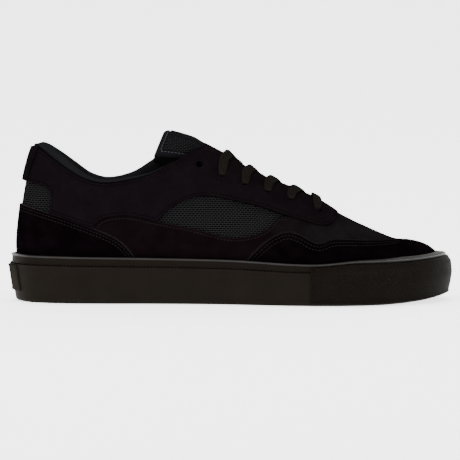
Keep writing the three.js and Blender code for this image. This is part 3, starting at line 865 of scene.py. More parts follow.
@dataclass(frozen=True)
class Rubber(Finish):
    """Calendered, cured rubber: a satin skin with faint dust and pressed line textures, each
    on its own band of heights, darkened in their troughs and lightened on their crests as
    painted shade and painted highlight. The real lines are closer, and are drawn as coarse
    as they need to show.
    """

    dust: str = "#2b2824"
    ribs: tuple[tuple[float, float, float, float, float], ...] = ()

    def make(self) -> bpy.types.Material:
        """Makes the material."""
        material, tree, shader = self.start()
        base = self.tone(tree, self.colour, self.dust, self.noise(tree, 14, 4))
        tree.links.new(base, shader.inputs["Base Color"])
        skin = self.bump(tree, shader, self.noise(tree, 0.7, 2), 0.05)
        if not self.ribs:
            return material
        parts = self.plan(tree)
        total: bpy.types.NodeSocket | None = None
        for low, high, pitch, lean, depth in self.ribs:
            slant = self.math(tree, "MULTIPLY", parts[1], lean)
            way = self.math(tree, "ADD", parts[0], slant)
            wave = self.math(tree, "SINE", self.turns(tree, way, pitch))
            above = self.math(tree, "GREATER_THAN", parts[1], low * MM)
            under = self.math(tree, "LESS_THAN", parts[1], high * MM)
            band = self.math(tree, "MULTIPLY", above, under)
            wave = self.math(tree, "MULTIPLY", wave, band)
            rib = self.math(tree, "MULTIPLY", wave, depth)
            total = rib if total is None else self.math(tree, "ADD", total, rib)
        self.bump(tree, shader, total, 1.0, skin)
        # Painted shade in the troughs and painted highlight on the crests: the colour is scaled by
        # the lines' height.
        most = max(rib[4] for rib in self.ribs)
        span = {"Value": total, "From Min": -most, "From Max": most, "To Min": 0.45, "To Max": 1.55}
        shade = add(tree, "ShaderNodeMapRange", span).outputs[0]
        lit = add(tree, "ShaderNodeVectorMath", {0: base}, operation="SCALE")
        tree.links.new(shade, lit.inputs["Scale"])
        tree.links.new(lit.outputs[0], shader.inputs["Base Color"])
        return material


@dataclass(frozen=True)
class Braid(Finish):
    """Flat braided lace: two sets of plaits that slope to the middle, dull and soft, darker between
    the plaits as painted shade.
    """

    shade: str = "#0c0c0c"
    plait: float = 1.3
    depth: float = 0.22

    def make(self) -> bpy.types.Material:
        """Makes the material."""
        material, tree, shader = self.start()
        parts = self.plan(tree)
        slope = self.math(tree, "ABSOLUTE", parts[1])
        way = self.math(tree, "ADD", parts[0], slope)
        along = self.math(tree, "SINE", self.turns(tree, way, self.plait))
        across = self.math(tree, "COSINE", self.turns(tree, parts[1], self.plait))
        wave = self.math(tree, "ADD", along, self.math(tree, "MULTIPLY", across, 0.6))
        level = add(
            tree, "ShaderNodeMapRange", {"Value": wave, "From Min": -1.6, "From Max": 1.6}
        ).outputs[0]
        # Painted shade between the plaits: the darker colour where the braid is low.
        colour = self.tone(tree, self.shade, self.colour, level)
        tree.links.new(colour, shader.inputs["Base Color"])
        self.bump(tree, shader, level, self.depth)
        return material


@dataclass(frozen=True)
class Thread(Finish):
    """Bonded nylon sewing thread: small smooth stitches that catch a little light."""

    def make(self) -> bpy.types.Material:
        """Makes the material."""
        material, tree, shader = self.start()
        self.bump(tree, shader, self.noise(tree, 0.3, 1), 0.03)
        return material


@dataclass(frozen=True)
class Weave(Finish):
    """Plain woven or knitted cloth: a fine crossing grid with a matt, slightly fuzzy face,
    darker between the threads as painted shade. The real threads are finer, and are drawn as
    coarse as they need to show.
    """

    shade: str = "#0b0b0c"
    pitch: float = 0.9
    rise: float = 0.9
    depth: float = 0.15

    def make(self) -> bpy.types.Material:
        """Makes the material."""
        material, tree, shader = self.start()
        parts = self.plan(tree)
        along = self.math(tree, "SINE", self.turns(tree, parts[0], self.pitch))
        across = self.math(tree, "SINE", self.turns(tree, parts[1], self.rise))
        grid = self.math(tree, "MULTIPLY", along, across)
        level = add(
            tree, "ShaderNodeMapRange", {"Value": grid, "From Min": -1.0, "From Max": 1.0}
        ).outputs[0]
        # Painted shade between the threads: the darker colour where the grid is low.
        colour = self.tone(tree, self.shade, self.colour, level)
        tree.links.new(colour, shader.inputs["Base Color"])
        self.bump(tree, shader, level, self.depth)
        return material


@dataclass(frozen=True)
class Wardrobe:
    """All finishes of the shoe, made once."""

    made: dict[str, bpy.types.Material] = field(default_factory=dict)

    def get(self, finish: Finish) -> bpy.types.Material:
        """Gives the material of a finish."""
        if finish.name not in self.made:
            self.made[finish.name] = finish.make()
        return self.made[finish.name]


SUEDE = Suede("black_suede", "#030102", 0.95, 0.0, brushed="#080507", cut="#2a2627")
# Its cut colour is darker than its face: painted shade along the quarters' and heel tab's edges,
# where they stand over the mesh and the vamp.
NUBUCK = Suede("quarter_nubuck", "#0a0709", 0.9, 0.0, brushed="#0f0b0d", cut="#060405", fibre=0.3)
VAMP = Suede(
    "vamp_nubuck", "#0b090a", 0.9, 0.0, brushed="#131112", cut="#1c1819", fibre=0.3, warm=True
)
MESH = SpacerMesh("mesh_cloth", "#222223", 0.85, 0.0)
KNIT = Weave("lining_knit", "#1e1e20", 0.95, 0.0, pitch=1.5, rise=1.5, depth=0.35)
TONGUE = Weave("tongue_cloth", "#161618", 0.9, 0.0)
BINDING = Weave("binding_tape", "#171719", 0.85, 0.0, pitch=0.7, rise=0.7)
INSOLE = Weave("insole_cloth", "#151517", 0.95, 0.0, pitch=0.8, rise=0.8)
FOXING = Rubber(
    "foxing_rubber",
    "#0f0c09",
    0.55,
    0.02,
    dust="#15120e",
    ribs=((25.6, 31, 1.8, 1.0, 0.08),),
)
BUMPER = Rubber(
    "bumper_rubber",
    "#0d0b09",
    0.6,
    0.02,
    dust="#13100d",
    ribs=((0, 21, 1.7, -1.0, 0.3), (21, 30, 1.7, 1.0, 0.3)),
)
# Lighter than the wall: glossy rubber whose lighter colour is painted highlight along the rim.
BEAD_WITH_PAINTED_HIGHLIGHT = Rubber("bead_rubber_painted_highlight", "#1d1b1b", 0.4, 0.12, dust="#262424")
# Near-black: painted shade of the pressed dots' hollows.
DOT_PAINTED_SHADE = Rubber("groove_dot_painted_shade", "#020202", 0.9, 0.0, dust="#040403")
SOLE = Rubber("sole_rubber", "#0b0a09", 0.8, 0.0)
LACE = Braid("lace_braid", "#191613", 0.9, 0.0)
STITCH = Thread("sewing_thread", "#1b1919", 0.7, 0.0)
DARK_STITCH = Thread("dark_sewing_thread", "#070506", 0.8, 0.0)
PALE_STITCH = Thread("pale_sewing_thread", "#3c3c3e", 0.6, 0.0)


# What repeats.


@dataclass
class Row:
    """Geometry Nodes that lay one small form along a path at an even pitch."""

    name: str
    pitch: float
    size: tuple[float, float, float]
    finish: Finish

    def tree(self, material: bpy.types.Material) -> tuple[bpy.types.NodeTree, dict[str, str]]:
        """Builds the tree.

        Args:
            material: Material of the forms.

        Returns:
            The tree and the identifier of each named input.
        """
        tree = bpy.data.node_groups.new(self.name, "GeometryNodeTree")
        face = tree.interface
        face.new_socket("Path", in_out="INPUT", socket_type="NodeSocketGeometry")
        names = {}
        for label in ("Pitch", "Length", "Width", "Height"):
            socket = face.new_socket(label, in_out="INPUT", socket_type="NodeSocketFloat")
            names[label] = socket.identifier
        face.new_socket("Row", in_out="OUTPUT", socket_type="NodeSocketGeometry")
        given = add(tree, "NodeGroupInput").outputs
        path = add(tree, "GeometryNodeMeshToCurve", {"Mesh": given["Path"]}).outputs[0]
        spots = add(tree, "GeometryNodeResampleCurve", {"Curve": path}, mode="LENGTH")
        tree.links.new(given["Pitch"], spots.inputs["Length"])
        form = add(
            tree, "GeometryNodeMeshUVSphere", {"Segments": 6, "Rings": 4, "Radius": 0.5}
        ).outputs[0]
        size = add(
            tree,
            "ShaderNodeCombineXYZ",
            {0: given["Length"], 1: given["Width"], 2: given["Height"]},
        ).outputs[0]
        shaped = add(
            tree, "GeometryNodeTransform", {"Geometry": form, "Scale": size}
        ).outputs[0]
        way = add(tree, "GeometryNodeInputTangent").outputs[0]
        out = add(
            tree, "GeometryNodeInputNamedAttribute", {"Name": "out"}, data_type="FLOAT_VECTOR"
        ).outputs[0]
        turned = add(
            tree, "FunctionNodeAlignRotationToVector", {"Vector": way}, axis="X"
        ).outputs[0]
        level = add(
            tree,
            "FunctionNodeAlignRotationToVector",
            {"Rotation": turned, "Vector": out},
            axis="Z",
            pivot_axis="X",
        ).outputs[0]
        laid = add(
            tree,
            "GeometryNodeInstanceOnPoints",
            {"Points": spots.outputs[0], "Instance": shaped, "Rotation": level},
        ).outputs[0]
        real = add(tree, "GeometryNodeRealizeInstances", {"Geometry": laid}).outputs[0]
        done = add(
            tree, "GeometryNodeSetMaterial", {"Geometry": real, "Material": material}
        ).outputs[0]
        add(tree, "NodeGroupOutput", {0: done})
        return tree, names

    def lay(
        self, paths: Sequence[tuple[Array, Array]], wardrobe: Wardrobe
    ) -> bpy.types.Object | None:
        """Lays the forms along some paths.

        Args:
            paths: Places and directions out, in the shoe's millimetres.
            wardrobe: The finishes.

        Returns:
            One piece with every form, or nothing where no path is long enough.
        """
        places, outs, edges = [], [], []
        for pos, nor in paths:
            if len(pos) < 3:
                continue
            start = sum(map(len, places))
            places.append(pos)
            outs.append(nor)
            edges += [(start + i, start + i + 1) for i in range(len(pos) - 1)]
        if not places:
            return None
        mesh = bpy.data.meshes.new(self.name + "_path")
        mesh.from_pydata(((np.vstack(places) + SHIFT) * MM).tolist(), edges, [])
        mark = mesh.attributes.new("out", "FLOAT_VECTOR", "POINT")
        mark.data.foreach_set("vector", np.vstack(outs).astype(float).ravel())
        path = bpy.data.objects.new(self.name + "_path", mesh)
        bpy.context.scene.collection.objects.link(path)
        material = wardrobe.get(self.finish)
        tree, names = self.tree(material)
        modifier = path.modifiers.new("row", "NODES")
        modifier.node_group = tree
        for label, value in zip(("Pitch", "Length", "Width", "Height"), (self.pitch, *self.size)):
            modifier[names[label]] = value * MM
        graph = bpy.context.evaluated_depsgraph_get()
        made = bpy.data.meshes.new_from_object(path.evaluated_get(graph))
        bpy.data.objects.remove(path)
        bpy.data.node_groups.remove(tree)
        piece = bpy.data.objects.new(self.name, made)
        bpy.context.scene.collection.objects.link(piece)
        if not made.materials:
            made.materials.append(material)
        made.shade_smooth()
        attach(piece, "root")
        return piece


def dress(
    piece: bpy.types.Object,
    wardrobe: Wardrobe,
    finish: Finish,
    nodes: Sequence[str] = (),
) -> bpy.types.Object:
    """Gives a piece its finish and its place in the frame.

    Args:
        piece: The piece.
        wardrobe: The finishes.
        finish: The piece's finish.
        nodes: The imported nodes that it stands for.

    Returns:
        The piece.
    """
    piece.data.materials.clear()
    piece.data.materials.append(wardrobe.get(finish))
    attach(piece, "root")
    if nodes:
        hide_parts(*nodes)
    log.info("%s: %d faces", piece.name, len(piece.data.polygons))
    return piece


# The rubber.


@dataclass
class Sole:
    """Outsole, side wall, toe bumper and heel label."""

    last: Last
    wardrobe: Wardrobe
    heel_height: float = 32.5
    ball_height: float = 28
    toe_height: float = 28.5
    thickness: float = 4
    lift: float = 0.7
    heel_end: float = 48
    toe_end: float = 60
    bumper_start: float = 202
    bumper_top_drop: float = 2.2
    bumper_bottom: float = 1.4
    layer: float = 1.4
    label_width: float = 32
    label_bottom: float = 7.5
    label_top: float = 25
    dot_pitch: float = 2.3
    bead_radius: float = 0.6
    gap: float = 0.3
    groove: float = 0.797
    # Share of the height, then shares of the thickness at the side, the heel and the toe.
    profile: tuple[tuple[float, float, float, float], ...] = (
        (0, 0.42, 0.95, 0.68),
        (0.25, 0.2, 0.62, 0.28),
        (0.5, 0.05, 0.32, 0),
        (0.785, 0, 0, 0.2),
        (0.81, 0.26, 0.26, 0.44),
        (0.95, 0.3, 0.34, 0.9),
        (1, 0.5, 0.5, 1.2),
    )

    def height(self, x: Array) -> Array:
        """Gives the wall's height over its own foot at x."""
        middle = (self.heel_height + self.ball_height) / 2
        rows = (
            (0, self.heel_height),
            (0.5, middle),
            (0.68, self.ball_height),
            (0.79, middle),
            (1, self.toe_height),
        )
        return Table(rows).read(1, x / self.last.sole_length)

    def ring(self, share: float, out: float, plain: bool = False) -> Array:
        """Gives the wall's line at a share of its height, moved out by an amount."""
        rows = np.array([r for r in self.profile if not plain or r[0] < 0.8 or r[0] == 1])
        x = self.last.loop[:, 0]
        heel = np.maximum(0, 1 - x / self.heel_end)
        toe = np.maximum(0, 1 - (self.last.sole_length - x) / self.toe_end)
        parts = [np.interp(share, rows[:, 0], rows[:, k]) for k in (1, 2, 3)]
        depth = (1 - heel - toe) * parts[0] + heel * parts[1] + toe * parts[2]
        flat = self.last.inset(depth * self.thickness - out)
        level = self.lift + share * (self.height(x) - self.lift)
        return np.column_stack([flat, level + self.last.lift(flat[:, 0])])

    def lengths(self, line: Array) -> Array:
        """Gives how far along a closed line each of its places is."""
        steps = np.linalg.norm(np.roll(line, -1, axis=0) - line, axis=1)
        return np.concatenate([[0], np.cumsum(steps)[:-1]])

    def wall(self) -> None:
        """Builds the side wall with its foot, groove, strip and bead."""
        shares = [0, 0.006, 0.015, 0.03, 0.06, 0.12, 0.2, 0.32, 0.45, 0.58, 0.7, 0.75, 0.77]
        shares += [0.78, 0.785, 0.79, 0.794, 0.797, 0.8, 0.804, 0.81, 0.82, 0.85, 0.89, 0.915]
        shares += [0.93, 0.94, 0.95, 0.96, 0.97, 0.98, 0.988, 0.995, 1]
        rings, plan = [], []
        along = self.lengths(self.ring(0.5, 0))
        for share in shares:
            out = -0.2 * bell(share, self.groove, 0.006) + 0.55 * bell(share, 0.965, 0.022)
            out += 0.18 * bell(share, 0.778, 0.008) - 0.7 * bell(share, 0, 0.018)
            out -= 0.9 * bell(share, 1, 0.012)
            rings.append(self.ring(share, float(out)))
            plan.append(rings[-1][:, 2] - self.last.lift(rings[-1][:, 0]))
        body, nor = self.last.grid, self.last.grid_out
        count = len(self.last.loop)
        for drop in (0.6, 6, 12):
            level = rings[-1][:, 2] - drop if drop < 1 else rings[len(shares) - 1][:, 2] - drop
            k = (body[:, :40, 2] < level[:, None]).sum(1).clip(1, 39)
            low, high = body[np.arange(count), k - 1], body[np.arange(count), k]
            u = ((level - low[:, 2]) / (high[:, 2] - low[:, 2]))[:, None].clip(0, 1)
            rings.append(low + (high - low) * u + nor[np.arange(count), k] * 2.1)
            plan.append(np.full(count, 36 + drop))
        inner = self.last.inset(6.4)
        for level in (12.9, 0.4):
            rings.append(
                np.column_stack([inner, level + self.last.lift(inner[:, 0])])
            )
            plan.append(np.full(count, 60 - level))
        places = np.stack(rings, 1)
        uv = np.stack([np.repeat(along[:, None], len(rings), 1), np.stack(plan, 1)], 2)
        piece = tube_mesh("foxing_rubber_wall", places, uv, closed=True)
        dress(piece, self.wardrobe, FOXING, ["foxing_tape"])

    def dots(self) -> None:
        """Lays the row of pressed dots in the groove, as small forms whose near-black colour is
        painted shade of the pressed hollows.
        """
        line = self.ring(self.groove, 0.15)
        nor = np.column_stack([self.last.outward, np.zeros(len(line))])
        line, nor = np.vstack([line, line[:1]]), np.vstack([nor, nor[:1]])
        row = Row("foxing_dots", self.dot_pitch, (1.3, 0.9, 1.1), DOT_PAINTED_SHADE)
        row.lay([(line, nor)], self.wardrobe)

    def bead(self) -> None:
        """Lays the fine glossy bead on the wall's upper rim; its colour, lighter than the wall's,
        is painted highlight along the rim.
        """
        line = self.ring(0.972, 0.5)
        out = np.column_stack([self.last.outward, np.zeros(len(line))])
        turn = np.linspace(0, 2 * np.pi, 9)[:-1]
        roll = out[:, None, :] * np.cos(turn)[None, :, None] * self.bead_radius
        roll = roll + np.array([0, 0, self.bead_radius]) * np.sin(turn)[None, :, None]
        along = np.repeat(self.lengths(line)[:, None], len(turn), 1)
        plan = np.stack([along, np.repeat(turn[None, :], len(line), 0)], 2)
        piece = tube_mesh("foxing_bead", line[:, None, :] + roll, plan, closed=True)
        dress(piece, self.wardrobe, BEAD_WITH_PAINTED_HIGHLIGHT)

    def side(self) -> Sheet:
        """Gives the wall's plain face as a sheet, for what is laid on it."""
        shares = np.linspace(0, 1, 30)
        pos = np.stack([self.ring(s, 0, plain=True) for s in shares], 1)
        out = np.column_stack([self.last.outward, np.zeros(len(pos))])
        nor = np.repeat(out[:, None, :], len(shares), 1)
        along = self.lengths(pos[:, 15])
        plan = np.stack(
            [np.repeat(along[:, None], len(shares), 1), pos[..., 2] - self.last.lift(pos[..., 0])],
            2,
        )
        sheet = Sheet.from_grid(pos, nor, plan, ring=True)
        return sheet

    def layers(self) -> None:
        """Builds the toe bumper and the heel label."""
        side = self.side()
        x, z = side.pos[:, 0], side.pos[:, 2] - self.last.lift(side.pos[:, 0])
        bumper = side.cut(x - self.bumper_start)
        z = bumper.pos[:, 2] - self.last.lift(bumper.pos[:, 0])
        bumper = bumper.cut(self.height(bumper.pos[:, 0]) - self.bumper_top_drop - z)
        z = bumper.pos[:, 2] - self.last.lift(bumper.pos[:, 0])
        bumper = bumper.cut(z - self.bumper_bottom)
        self.lay_layer(bumper, "toe_bumper_rubber", BUMPER, "toe_bumper", 0.35)
        label = side.cut(60 - side.pos[:, 0])
        label = label.cut(self.label_width / 2 - np.abs(label.pos[:, 1]))
        label = label.cut(self.label_top - label.pos[:, 2])
        label = label.cut(label.pos[:, 2] - self.label_bottom)
        self.lay_layer(label, "heel_label_rubber", SOLE, "heel_label", 0.3)

    def lay_layer(
        self, sheet: Sheet, name: str, finish: Finish, node: str, border: float
    ) -> None:
        """Lays a rubber layer with a rounded edge and a fine raised border.

        Args:
            sheet: The layer's sheet.
            name: The piece's name.
            finish: Its finish.
            node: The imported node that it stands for.
            border: Height of the raised border.
        """
        away = sheet.from_edge()
        for level in (0.25, 0.6, 1.1, 1.5, 2.0):
            sheet, away = sheet.refine(away, level)
        away = sheet.from_edge()
        round_edge = np.sqrt(1 - (1 - np.clip(away / 0.7, 0, 1)) ** 2)
        high = self.gap + self.layer * (0.35 + 0.65 * round_edge)
        high -= border * smooth(away, 1.1, 1.5)
        piece = sheet.shell(name, self.gap * 0.5, high, away)
        dress(piece, self.wardrobe, finish, [node])

    def tread(self) -> None:
        """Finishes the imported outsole."""
        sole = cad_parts["outsole"]
        sole.data.materials.clear()
        sole.data.materials.append(self.wardrobe.get(SOLE))

    def build(self) -> None:
        """Builds every rubber piece."""
        self.tread()
        self.wall()
        self.dots()
        self.bead()
        self.layers()


# The upper.


@dataclass
class Upper:
    """The lasted upper with its overlays, lining, tongue and insole."""

    last: Last
    wardrobe: Wardrobe
    wall: float = 2.2
    gap: float = 0.3
    seam_gap: float = 0.35
    overlay: float = 1.4
    hem: float = 3
    vamp: float = 1
    quarter: float = 2.3
    heel_tab: float = 2.8
    heel_tab_width: float = 22
    lining_depth: float = 38
    lining_rise: float = 5
    lining_reach: float = 112
    tongue: float = 7
    tongue_top: float = 105.5
    tongue_front: float = 226
    tongue_width: float = 50
    tongue_front_width: float = 31
    tongue_shoulder: float = 0.55
    tongue_lean: float = 9.2
    tongue_depth: float = 26
    throat_width: float = 28
    throat_front: float = 213
    eyelet_lateral: float = 31
    eyelet_medial: float = 26.5
    eyelet_taper: float = 1.15
    first_eyelet: float = 207
    first_pitch: float = 18.4
    eyelet_pitch: float = 15.1
    eyelet_rows: int = 6
    eyelet: float = 3.8
    collar: Table = Table(
        (
            (-0.02, 0.985, 0.985, 0.4),
            (0.06, 0.985, 0.985, 0.5),
            (0.073, 0.979, 0.979, 0.75),
            (0.106, 0.91, 0.91, 1),
            (0.142, 0.838, 0.838, 0.95),
            (0.178, 0.784, 0.784, 0.6),
            (0.221, 0.761, 0.761, 0.45),
            (0.275, 0.782, 0.8, 0.4),
            (0.316, 0.811, 0.875, 0.35),
            (0.343, 0.845, 0.925, 0.3),
            (0.374, 0.894, 0.958, 0.2),
            (0.412, 0.963, 0.98, 0.1),
            (0.4375, 0.99, 0.99, 0.1),
        )
    )
    counter_edge: Table = Table(
        (
            (-0.02, 0.64),
            (0.02, 0.627),
            (0.088, 0.578),
            (0.185, 0.487),
            (0.25, 0.404),
            (0.285, 0.3),
            (0.3, 0.2),
        )
    )
    mudguard_edge: Table = Table(
        (
            (0.525, 0.2),
            (0.537, 0.281),
            (0.561, 0.357),
            (0.588, 0.418),
            (0.62, 0.457),
            (0.65, 0.443),
            (0.69, 0.388),
            (0.725, 0.408),
            (0.79, 0.395),
            (0.865, 0.381),
            (0.89, 0.39),
            (0.905, 0.41),
            (0.915, 0.46),
        )
    )
    panel_edge: Table = Table(
        (
            (0.185, 0.47),
            (0.213, 0.535),
            (0.245, 0.556),
            (0.281, 0.555),
            (0.336, 0.522),
            (0.4, 0.488),
            (0.445, 0.457),
            (0.488, 0.427),
            (0.52, 0.423),
            (0.558, 0.445),
            (0.586, 0.49),
            (0.605, 0.55),
            (0.622, 0.545),
        )
    )
    quarter_edge: tuple[tuple[float, float], ...] = (
        (0.336, 0.522),
        (0.368, 0.608),
        (0.4, 0.658),
        (0.435, 0.681),
        (0.472, 0.673),
        (0.518, 0.645),
        (0.562, 0.615),
        (0.605, 0.573),
        (0.651, 0.533),
        (0.689, 0.498),
        (0.709, 0.49),
        (0.727, 0.512),
        (0.74, 0.565),
        (0.74, 0.62),
    )
    window_edge: tuple[tuple[float, float], ...] = (
        (-0.02, 0.785),
        (0.045, 0.765),
        (0.092, 0.728),
        (0.099, 0.66),
        (0.094, 0.56),
    )
    throat: Table = Table(
        (
            (0.3, 0.54),
            (0.437, 0.52),
            (0.56, 0.48),
            (0.65, 0.43),
            (0.7, 0.36),
            (0.728, 0.32),
            (0.8, 0.3),
        )
    )
    far: float = 400
    # Folds as seen from the side: both ends, width and height, where below nought is a trough.
    folds: tuple[tuple[float, float, float, float, float, float], ...] = (
        (100, 78, 133, 88, 6.5, -0.9),
        (96, 70, 112, 80, 5, 0.35),
        (112, 92, 150, 84, 6, 0.4),
        (38, 93, 58, 70, 7, -0.5),
        (60, 66, 96, 64, 6, -0.35),
        (197, 60, 208, 44, 4, -0.7),
        (205, 58, 214, 47, 3.5, 0.5),
        (214, 60, 222, 46, 4, -0.5),
        (228, 56, 238, 44, 5, -0.3),
        (16, 60, 60, 44, 8, -0.4),
        (90, 50, 150, 42, 7, -0.4),
        (182, 40, 196, 34, 5, -0.35),
        (230, 40, 262, 37, 5, -0.35),
    )

    @property
    def scale(self) -> tuple[float, float]:
        """Millimetres for a share along and a share up."""
        return self.last.sole_length, self.last.heel_height

    def line(self, rows: Sequence[tuple[float, float]]) -> Array:
        """Gives a smooth side-view line through rows of shares."""
        return spline(np.array(rows) * self.scale)

    def shape(self, parts: Sequence[Array | tuple[float, float]]) -> Array:
        """Joins lines and corners into one side-view outline."""
        return np.vstack([np.atleast_2d(np.asarray(part, float)) for part in parts])

    def over_collar(self, pos: Array, rise: float = 0) -> Array:
        """Gives how far places are over the collar's edge, as seen from the side."""
        front = self.collar.rows[-1][0] * self.scale[0]
        found = []
        for column in (1, 2):
            start = self.collar.rows[0][column] * self.scale[1] + rise
            outline = self.shape(
                [
                    self.collar.edge(self.scale, column, rise),
                    (front + self.scale[1] / 3, self.far),
                    (-self.far, self.far),
                    (-self.far, start),
                ]
            )
            found.append(inside(outline, pos[:, 0], pos[:, 2]))
        return np.where(pos[:, 1] < 0, found[0], found[1])

    def in_throat(self, pos: Array, front: float = 0) -> Array:
        """Gives how far inside the throat places are, as seen from above."""
        end = front - 5 if front else self.far
        x = np.linspace(self.throat.rows[0][0] * self.scale[0], min(end, 239), 40)
        half = self.throat.read(1, x / self.scale[0]) * self.throat_width
        centre = self.last.centre(x)
        tip = []
        if front:
            turn = np.linspace(-1.2, 1.2, 9)[:, None]
            middle = float(self.last.centre(front))
            tip_x = x[-1] + (front - x[-1]) * np.cos(turn)
            tip = [np.hstack([tip_x, middle + half[-1] * turn / 1.2])]
        outline = self.shape(
            [
                np.column_stack([x, centre - half]),
                *tip,
                np.column_stack([x, centre + half])[::-1],
            ]
        )
        return inside(outline, pos[:, 0], pos[:, 1])

    def counter_shape(self) -> Array:
        """Gives the heel counter's outline from the side."""
        rows = self.counter_edge.rows
        return self.shape(
            [
                self.counter_edge.edge(self.scale),
                (rows[-1][0] * self.scale[0], -1),
                (-self.far, -1),
                (-self.far, rows[0][1] * self.scale[1]),
            ]
        )

    def mudguard_shape(self) -> Array:
        """Gives the toe mudguard's outline from the side."""
        rows = self.mudguard_edge.rows
        return self.shape(
            [
                self.mudguard_edge.edge(self.scale),
                (rows[-1][0] * self.scale[0], self.far),
                (self.far, self.far),
                (self.far, -1),
                (rows[0][0] * self.scale[0], -1),
            ]
        )

    def vamp_shape(self) -> Array:
        """Gives the outline of the vamp and the lower side panels."""
        rows = self.panel_edge.rows
        return self.shape(
            [
                self.panel_edge.edge(self.scale),
                (0.7 * self.scale[0], 0.66 * self.scale[1]),
                (self.far, 0.66 * self.scale[1]),
                (self.far, -1),
                (rows[0][0] * self.scale[0], -1),
            ]
        )

    def quarter_shape(self) -> Array:
        """Gives the outline of a quarter with its eyestay."""
        return self.shape(
            [
                (0.094 * self.scale[0], 0.487 * self.scale[1]),
                self.line(self.panel_edge.rows[0:5])[:-1],
                self.line(self.quarter_edge),
                (0.74 * self.scale[0], self.far),
                (-self.far, self.far),
                (-self.far, self.window_edge[0][1] * self.scale[1]),
                self.line(self.window_edge),
            ]
        )

    def tab_shape(self) -> Array:
        """Gives the heel tab's outline from the side."""
        return self.shape(
            [
                self.line(self.window_edge[:3]),
                (self.window_edge[2][0] * self.scale[0], self.far),
                (-self.far, self.far),
                (-self.far, self.window_edge[0][1] * self.scale[1]),
            ]
        )

    def within(self, outline: Array, sheet: Sheet, offset: float = 0) -> Array:
        """Gives how far inside a side-view outline a sheet's places are."""
        pos = sheet.pos + sheet.nor * offset
        return inside(outline, pos[:, 0], pos[:, 2])

    def over_hem(self, sheet: Sheet) -> Array:
        """Gives the height over the line where the overlays stop behind the side wall."""
        foot = self.last.feather_height + self.hem
        return sheet.pos[:, 2] - self.last.lift(sheet.pos[:, 0]) - foot

    def reach(self, side: Side, row: int) -> float:
        """Gives how far across from the middle a row's eyelet is. The rows draw in going up."""
        most = self.eyelet_lateral if side is Side.LATERAL else self.eyelet_medial
        return side.value * (most - row * self.eyelet_taper)

    def eyelets(self) -> list[tuple[Array, Array]]:
        """Finds each eyelet's place and direction, row by row, lateral then medial."""
        bed = self.last.bed(0)
        spots = []
        for row in range(self.eyelet_rows):
            back = self.first_pitch + (row - 1) * self.eyelet_pitch if row else 0
            x = self.first_eyelet - back
            for side in Side:
                y = float(self.last.centre(x)) + self.reach(side, row)
                spots.append(self.last.over(bed, x, y))
        return spots

    def punch(self, sheet: Sheet) -> Sheet:
        """Cuts the eyelets out of a sheet."""
        for reach in (5.0, 3.6):
            sheet = sheet.finer([(*place, reach) for place, _ in self.eyelets()])
        for place, out in self.eyelets():
            way = sheet.pos - place
            depth = way @ out
            off = np.linalg.norm(way - depth[:, None] * out, axis=1)
            off = np.where(np.abs(depth) > 8, 50, off)
            sheet = sheet.cut(off - self.eyelet / 2)
        return sheet

    def shown(self, places: Array) -> Array:
        """Says which places of an edge stand clear of the side wall."""
        return places[:, 2] - self.last.lift(places[:, 0]) > 24

    def finish_edge(
        self, sheet: Sheet, rows: Sequence[float], extra: Sequence[float] = ()
    ) -> tuple[Sheet, Array]:
        """Puts lines of vertices where an overlay rounds off and is sewn.

        Args:
            sheet: The overlay's sheet.
            rows: Distances of the stitch rows from the edge.
            extra: Further distances that need a line.

        Returns:
            The finer sheet and each vertex's distance from the edge.
        """
        away = sheet.from_edge(self.shown)
        levels = {0.2, 0.5, 0.9, *extra}
        for row in rows:
            levels |= {row - 0.6, row, row + 0.6}
        for level in sorted(levels):
            sheet, away = sheet.refine(away, level)
        return sheet, sheet.from_edge(self.shown)

    def relief(self, away: Array, rows: Sequence[float], thickness: float) -> Array:
        """Gives an overlay's height over its back: a firm edge and a dip at each stitch row."""
        edge = 0.55 + 0.45 * np.sqrt(1 - (1 - np.clip(away / 0.9, 0, 1)) ** 2)
        height = thickness * edge
        for row in rows:
            height = height - 0.28 * bell(away, row, 0.55)
        return height

    def creases(self, pos: Array) -> Array:
        """Gives the soft troughs and ridges that shaping and wear leave in the leather."""
        total = np.zeros(len(pos))
        for x0, z0, x1, z1, width, depth in self.folds:
            way = np.array([x1 - x0, z1 - z0], float)
            off = pos[:, [0, 2]] - (x0, z0)
            share = np.clip(off @ way / (way @ way), 0, 1)
            apart = np.linalg.norm(off - share[:, None] * way, axis=1)
            fade = 0.35 + 0.65 * np.sin(np.pi * np.clip(share, 0.08, 0.92))
            total += depth * fade * np.exp(-((apart / width) ** 2))
        return total

    def sew(
        self,
        name: str,
        sheet: Sheet,
        away: Array,
        rows: Sequence[float],
        high: Array,
        keep: Callable[[Array], Array] | None = None,
        thread: Finish | None = None,
    ) -> None:
        """Lays stitch rows at distances from an overlay's edge.

        Args:
            name: The piece's name.
            sheet: The overlay's sheet.
            away: Distance from the edge at its vertices.
            rows: Distances of the rows.
            high: The overlay's height at its vertices.
            keep: Says which places are sewn.
            thread: The thread's finish, where it isn't the paler one.
        """
        top = sheet.pos + sheet.nor * (high + 0.05)[:, None]
        raised = Sheet(top, sheet.nor, sheet.uv, sheet.tri)
        paths = []
        for row in rows:
            for pos, nor in raised.lines(away, row):
                ok = pos[:, 2] - self.last.lift(pos[:, 0]) > 27
                if keep is not None:
                    ok &= keep(pos)
                for run in np.split(np.arange(len(pos)), np.flatnonzero(~ok)):
                    run = run[ok[run]]
                    if len(run) > 3:
                        paths.append((pos[run], nor[run]))
        Row(name, 2.3, (1.75, 0.62, 0.5), thread or STITCH).lay(paths, self.wardrobe)

    def body(self) -> None:
        """Builds the lasted upper that shows in the windows."""
        sheet = self.last.sheet
        sheet = sheet.cut(-self.over_collar(sheet.pos))
        sheet = self.punch(sheet.cut(-self.in_throat(sheet.pos, self.throat_front)))
        piece = sheet.shell("upper_mesh", -self.wall, 0)
        dress(piece, self.wardrobe, MESH, ["upper"])

